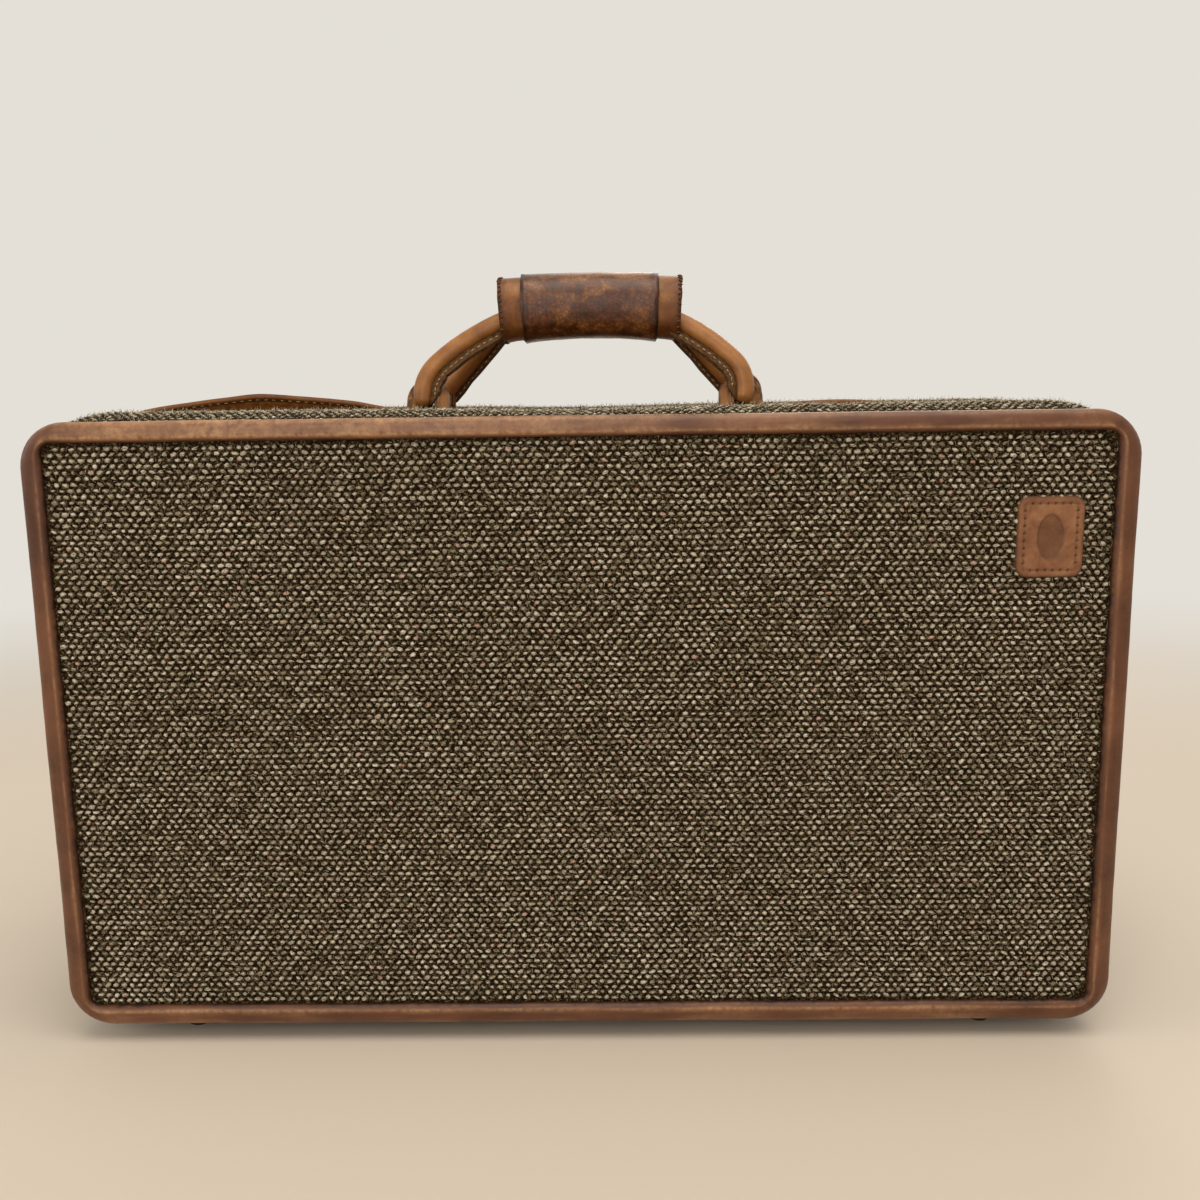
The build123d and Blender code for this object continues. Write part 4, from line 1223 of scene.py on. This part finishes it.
upper = acos(14 / 21.9)
lower = 2 * pi - acos(10 / 21.9)
fold = 0.22
inner_leather = leather(
    "saddle_leather_tan", "#4f2a0d", "#6d3f18", "#8d5726", "#b98a55", "#2a1404", 0.42, 14
)
band_leather = leather(
    "saddle_leather_handled", "#331502", "#5c2d0c", "#9a6530", "#b07c45", "#1d0a01", 0.3, 9,
    coat=0.15, patchy=(0.2, 1.7), crazed=0.5,
)
for name, length, grow, wall, material, slot, seed in (
    ("wrap_inner", 110, 0.0, 1.4, inner_leather, "band_leather", 1),
    ("wrap_outer", 82, 1.5, 1.3, band_leather, "band_leather", 5),
):
    layer_nodes = ("wrap_flap", "wrap_back") if grow == 0 else ("wrap_band_front", "wrap_band_back")
    bore_y, bore_z = 20.5 + grow, 17.3 + grow
    rows, wear = sleeve(length, bore_y, bore_z, wall, upper + fold, lower - 0.015, seed, 0.5)
    piece = mesh_piece(f"{name}_front", *swept(rows, loop=False), wear=wear)
    place_piece(piece, material, "wrap_front", slot, layer_nodes[0])
    rows, wear = sleeve(length, bore_y, bore_z, wall, lower - 2 * pi + 0.015, upper - fold, seed, 0.5)
    piece = mesh_piece(f"{name}_back", *swept(rows, loop=False), wear=wear)
    place_piece(piece, material, "rear_handle", slot, layer_nodes[1])
    rows, wear = sleeve(length, bore_y, bore_z, wall, upper - fold, upper + fold, seed, 0.5)
    piece = mesh_piece(f"{name}_fold", *swept(rows, loop=False), wear=wear)
    piece.data.materials.clear()
    piece.data.materials.append(material)
    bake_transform(piece)

# Stitches that whip the inner layer's two ends
end_seam = 53.9
spots = []
for n in range(25):
    turn = upper + fold + 0.1 + (lower - upper - fold - 0.25) * n / 24
    power = 3.0 if sin(turn) < 0 else 2.3
    square = (abs(cos(turn)) ** power + abs(sin(turn)) ** power) ** (-1 / power)
    for hand in (-1, 1):
        middle, way, up = wrap_frame(hand * end_seam)
        out = (Vector((0, cos(turn), 0)) + up * sin(turn)).normalized()
        at = middle + Vector((0, 22.6 * cos(turn) * square, 0)) + up * (
            (19.3 + (1.2 if sin(turn) < 0 else -0.6)) * sin(turn) * square
        )
        spots.append((tuple(at), tuple(way), tuple(out)))
whipped = repeated(
    "wrap_end_stitches", spots, stitch_shape, (1.5, 0.4, 0.5), (1.9, 0.6, 0.7), (0.1, 0.1, 0.5), 93, cut_edge
)
place_piece(whipped, None, "wrap_front", "band_leather")

# Felt, stuffed behind the rear grip so that the wrap stays round
felt_tones = [(0.35, "#584b38"), (0.7, "#857760")]
felt = grained("wool_felt_padding", "#6e604b", 0.95, 2, 6, felt_tones, (0.8, 0.0008), {"Sheen Weight": 0.3})
rows = []
for n in range(25):
    along = (n / 24 - 0.5) * 106
    middle, way, up = wrap_frame(along)
    row = []
    for j in range(16):
        turn = -0.93 + 1.86 * j / 15
        row.append(tuple(middle + Vector((0, 19.6 * cos(turn), 0)) + up * (16.6 * sin(turn))))
    for j in range(8):
        rise = 13.0 - 26 * (j + 0.5) / 8
        hollow = 15.2 if abs(rise - 3) < 7 else 12.4
        row.append(tuple(middle + Vector((0, hollow, 0)) + up * rise))
    rows.append(row)
pad = mesh_piece("wrap_felt_pad", *swept(rows, loop=False))
place_piece(pad, felt, "rear_handle", "padding", "wrap_pad")


# Flap over the zip: one long strip of leather, nailed down behind the zip. Its loose front edge has
# dried and buckled, and stands up in a high wave at the left and a low one at the right.
flap_places = [
    (-285, 1.0), (-268, 6.0), (-242, 9.6), (-222, 12.0), (-198, 14.2), (-176, 12.6), (-142, 9.4), (-122, 5.6),
    (-100, 2.2),
    (-60, 0.3), (60, 0.3), (100, 2.0), (128, 4.9), (157, 6.2), (190, 4.8), (225, 3.2), (258, 1.0), (275, 0),
]


def flap_rise(x):
    """How far the loose edge stands up, on a smooth line through the measured heights."""
    last = len(flap_places) - 1
    n = next((i for i in range(last) if x <= flap_places[i + 1][0]), last - 1)
    (xa, ha), (x0, h0), (x1, h1), (xb, hb) = (flap_places[min(last, max(0, n + i))] for i in (-1, 0, 1, 2))
    share = min(1, (x - x0) / (x1 - x0))
    leave, arrive = (h1 - ha) * (x1 - x0) / (x1 - xa), (hb - h0) * (x1 - x0) / (xb - x0)
    turn_in = (2 * share**3 - 3 * share**2 + 1) * h0 + (share**3 - 2 * share**2 + share) * leave
    return max(0, turn_in + (3 * share**2 - 2 * share**3) * h1 + (share**3 - share**2) * arrive)


flap_leather = leather(
    "strap_leather_dried", "#5a3317", "#754926", "#8e5e34", "#c07f3d", "#2c1607", 0.5, 30
)
rows, wear, flap_edges = [], [], []
for n in range(225):
    x = -285 + 560 * n / 224
    rise = flap_rise(x)
    across = [0, 0.1, 0.25, 0.4, 0.55, 0.7, 0.82, 0.92, 1.0]
    over, under = [], []
    for share in across:
        y = 11 - 21 * share
        lift = rise * (0.85 * share + 0.15 * share * share)
        z = deck_z + 0.45 + lift + 0.25 * noise.noise(Vector((x / 20, y / 8, 4))) * share
        curl = 0.8 * share**6 * min(1, rise / 5)
        over.append((x, y + curl, z + 1.7 + 0.6 * share**4))
        under.append((x, y + curl, z))
    rows.append(over + under[::-1])
    wear += [-0.2, 0, 0, 0, 0, 0, 0.1, 0.0, -0.3] + [0.35, -0.7] + [0.9] * 7
    flap_edges.append((over[-2], under[-2]))
flap = mesh_piece("zip_cover_flap", *swept(rows, loop=False), wear=wear)
place_piece(flap, flap_leather, "zip_flap", "binding_leather", "zip_flap")
spots = []
for n in range(2, 223, 2):
    for j, face in ((0, 1), (1, -1)):
        at, after = Vector(flap_edges[n][j]), Vector(flap_edges[n + 1][j])
        way = (after - at).normalized()
        spots.append((tuple(at), tuple(way), tuple(way.cross(Vector((0, -face, 0))).normalized())))
sewn = repeated(
    "zip_flap_stitches", spots, stitch_shape,
    (1.3, 0.45, 0.3), (1.6, 0.5, 0.35), (0.05, 0.05, 0.1), 97, waxed_thread,
)
place_piece(sewn, None, "zip_flap", "binding_leather")


# Patch on the front: a small tan leather label with rounded corners, sewn down close to its edge,
# with a pressed oval in the middle that is left bare.
def box_distance(x, z, wide, high, corner):
    """How far a point lies inside a rounded rectangle's edge. Outside is less than zero."""
    dx, dz = abs(x) - wide + corner, abs(z) - high + corner
    return corner - sqrt(max(dx, 0) ** 2 + max(dz, 0) ** 2) - min(max(dx, dz), 0)


def grid_faces(columns, levels):
    """The faces of a flat grid of points, row after row."""
    wide_count = columns + 1
    corners = (0, 1, wide_count + 1, wide_count)
    return [
        tuple(row * wide_count + column + corner for corner in corners)
        for row in range(levels)
        for column in range(columns)
    ]


def grid_border(columns, levels):
    """The points round such a grid, in order."""
    wide_count = columns + 1
    border = list(range(wide_count))
    border += [row * wide_count + columns for row in range(1, levels + 1)]
    border += [levels * wide_count + column for column in range(columns - 1, -1, -1)]
    return border + [row * wide_count for row in range(levels - 1, 0, -1)]


patch_points, patch_wear = [], []
steps_x, steps_z = 78, 92
wide, high = patch_size[0] / 2, patch_size[1] / 2
stitch_in = 4.3
stitch_gap = 4.2
for row in range(steps_z + 1):
    for column in range(steps_x + 1):
        s, t = 2 * column / steps_x - 1, 2 * row / steps_z - 1
        x, z = s * wide, t * high
        corner = 6.5
        dx, dz = abs(x) - (wide - corner), abs(z) - (high - corner)
        if dx > 0 and dz > 0:
            far = sqrt(dx * dx + dz * dz)
            most = max(dx, dz)
            x = (wide - corner + dx * most / far) * (1 if x > 0 else -1)
            z = (high - corner + dz * most / far) * (1 if z > 0 else -1)
        inside = box_distance(x, z, wide, high, corner)
        edge = min(1, max(0, inside / 1.6))
        height = 1.75 * sqrt(max(0, 1 - (1 - edge) ** 2))
        groove = exp(-(((inside - stitch_in) / 0.75) ** 2))
        oval = sqrt((x / 7.25) ** 2 + (z / 12.5) ** 2)
        pressed = 0.5 * min(1, max(0, (1.04 - oval) / 0.09))
        ring = exp(-(((oval - 1.02) / 0.06) ** 2))
        height -= 0.45 * groove + pressed
        height += 0.12 * noise.noise(Vector((x / 5, z / 5, 2)))
        along = z if wide - abs(x) < high - abs(z) else x
        hole = groove * exp(-((((along / stitch_gap) % 1 - 0.5) * stitch_gap / 0.6) ** 2))
        height -= 0.5 * hole
        patch_points.append((patch_middle[0] + x, -cloth_face - height, patch_middle[1] + z))
        dark = 0.8 * exp(-((inside / 1.3) ** 2)) + 0.1 * groove + 1.2 * hole + (
            0.45 if oval < 1 else 0
        ) + 0.4 * ring
        patch_wear.append(-dark + 0.15 * noise.noise(Vector((x / 8, z / 8, 5))))
patch_faces = grid_faces(steps_x, steps_z)
border = grid_border(steps_x, steps_z)
base = len(patch_points)
for i in border:
    x, _, z = patch_points[i]
    patch_points.append((x, -cloth_face + 0.3, z))
    patch_wear.append(-0.8)
for n, i in enumerate(border):
    after = (n + 1) % len(border)
    patch_faces.append((i, border[after], base + after, base + n))
patch_faces.append(tuple(range(base, base + len(border))))
patch_leather = leather(
    "calf_leather_label", "#6f4529", "#83573a", "#966b48", "#b78d66", "#3a2010", 0.5, 9, patchy=(0.8, 1.1)
)
patch = mesh_piece("front_leather_label", patch_points, patch_faces, wear=patch_wear)
place_piece(patch, patch_leather, "front_half", "binding_leather", "front_patch")

places = []
across, up = wide - stitch_in, high - stitch_in
outline = [(stitch_gap * n, -up, 1, 0) for n in range(-3, 4)] + [
    (across, stitch_gap * n, 0, 1) for n in range(-4, 5)
]
for x, z, run_x, run_z in outline:
    for flip in (1, -1):
        spot = (patch_middle[0] + flip * x, -cloth_face - 1.35, patch_middle[1] + flip * z)
        places.append((spot, (run_x, 0, run_z), (0, -1, 0)))
label_thread = grained(
    "cotton_thread_darkened", "#7a5232", 0.8, 0.6, 3, [(0.35, "#5f3d22"), (0.7, "#94693f")]
)
sewn = repeated(
    "front_label_stitches",
    places,
    stitch_shape,
    (1.2, 0.34, 0.25),
    (1.45, 0.4, 0.32),
    (0.05, 0.05, 0.12),
    95,
    label_thread,
)
place_piece(sewn, None, "front_half", "binding_leather")


# Packing straps and lid pocket: two webbing straps with plated buckles across the rear half, and a
# flat cotton pocket stretched over the inside of the front half.
webbing_tones = [(0.2, "#6d5739"), (0.8, "#a08a66")]
webbing = grained(
    "cotton_webbing", "#8b7350", 0.85, 8, 0.3, webbing_tones, (0.5, 0.0004), fuzz, bands="DIAGONAL"
)
webbing_section = [
    (-12.5, 85.2), (-12.5, 84.2), (-12.1, 83.9), (-6, 83.8), (0, 83.7),
    (6, 83.8), (12.1, 83.9), (12.5, 84.2), (12.5, 85.2),
]
strap_low, strap_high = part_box("packing_straps")[0].z * 1000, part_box("packing_straps")[1].z * 1000
for number, middle in enumerate((-110, 110)):
    rows = []
    for n in range(49):
        z = strap_low + (strap_high - strap_low) * n / 48
        bow = 0.5 * sin(pi * n / 48) + 0.2 * noise.noise(Vector((middle, 0, z / 20)))
        row = []
        for x, y in webbing_section:
            row.append((middle + x, y - (bow if y < 85 else 0), z))
        rows.append(row)
    strap = mesh_piece(f"packing_strap_{number + 1}", *swept(rows, loop=False))
    place_piece(strap, webbing, "rear_half", "webbing", *(["packing_straps"] if number == 0 else []))

pocket_low, pocket_high = (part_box("lid_pocket")[n] * 1000 for n in (0, 1))
pocket_wide, pocket_tall = pocket_high.x - pocket_low.x, pocket_high.z - pocket_low.z
columns, levels = 50, 20
wide_count = columns + 1
layer_count = wide_count * (levels + 1)
points, faces = [], []
for layer_number in (0, 1):
    for row in range(levels + 1):
        for column in range(wide_count):
            s, t = column / columns, row / levels
            x, z = pocket_low.x + pocket_wide * s, pocket_low.z + pocket_tall * t
            full = (sin(pi * s) * sin(pi * t * 0.85)) ** 0.5 if 0 < s < 1 and t > 0 else 0
            y = -85.1 + 0.4 + 1.3 * full + 0.3 * noise.noise(Vector((x / 25, z / 25, 9))) * full
            points.append((x, y + 0.5 * layer_number, z))
for face in grid_faces(columns, levels):
    faces.append(face)
    faces.append(tuple(i + layer_count for i in reversed(face)))
ring = grid_border(columns, levels)
for n, i in enumerate(ring):
    k = ring[(n + 1) % len(ring)]
    faces.append((i, k, k + layer_count, i + layer_count))
pocket = mesh_piece("lid_pocket_cloth", points, faces)
place_piece(pocket, lining_cotton, "front_half", "lining_cloth", "lid_pocket")

for shape in (nub_shape, hair_shape, tooth_shape, stitch_shape):
    bpy.data.objects.remove(shape)
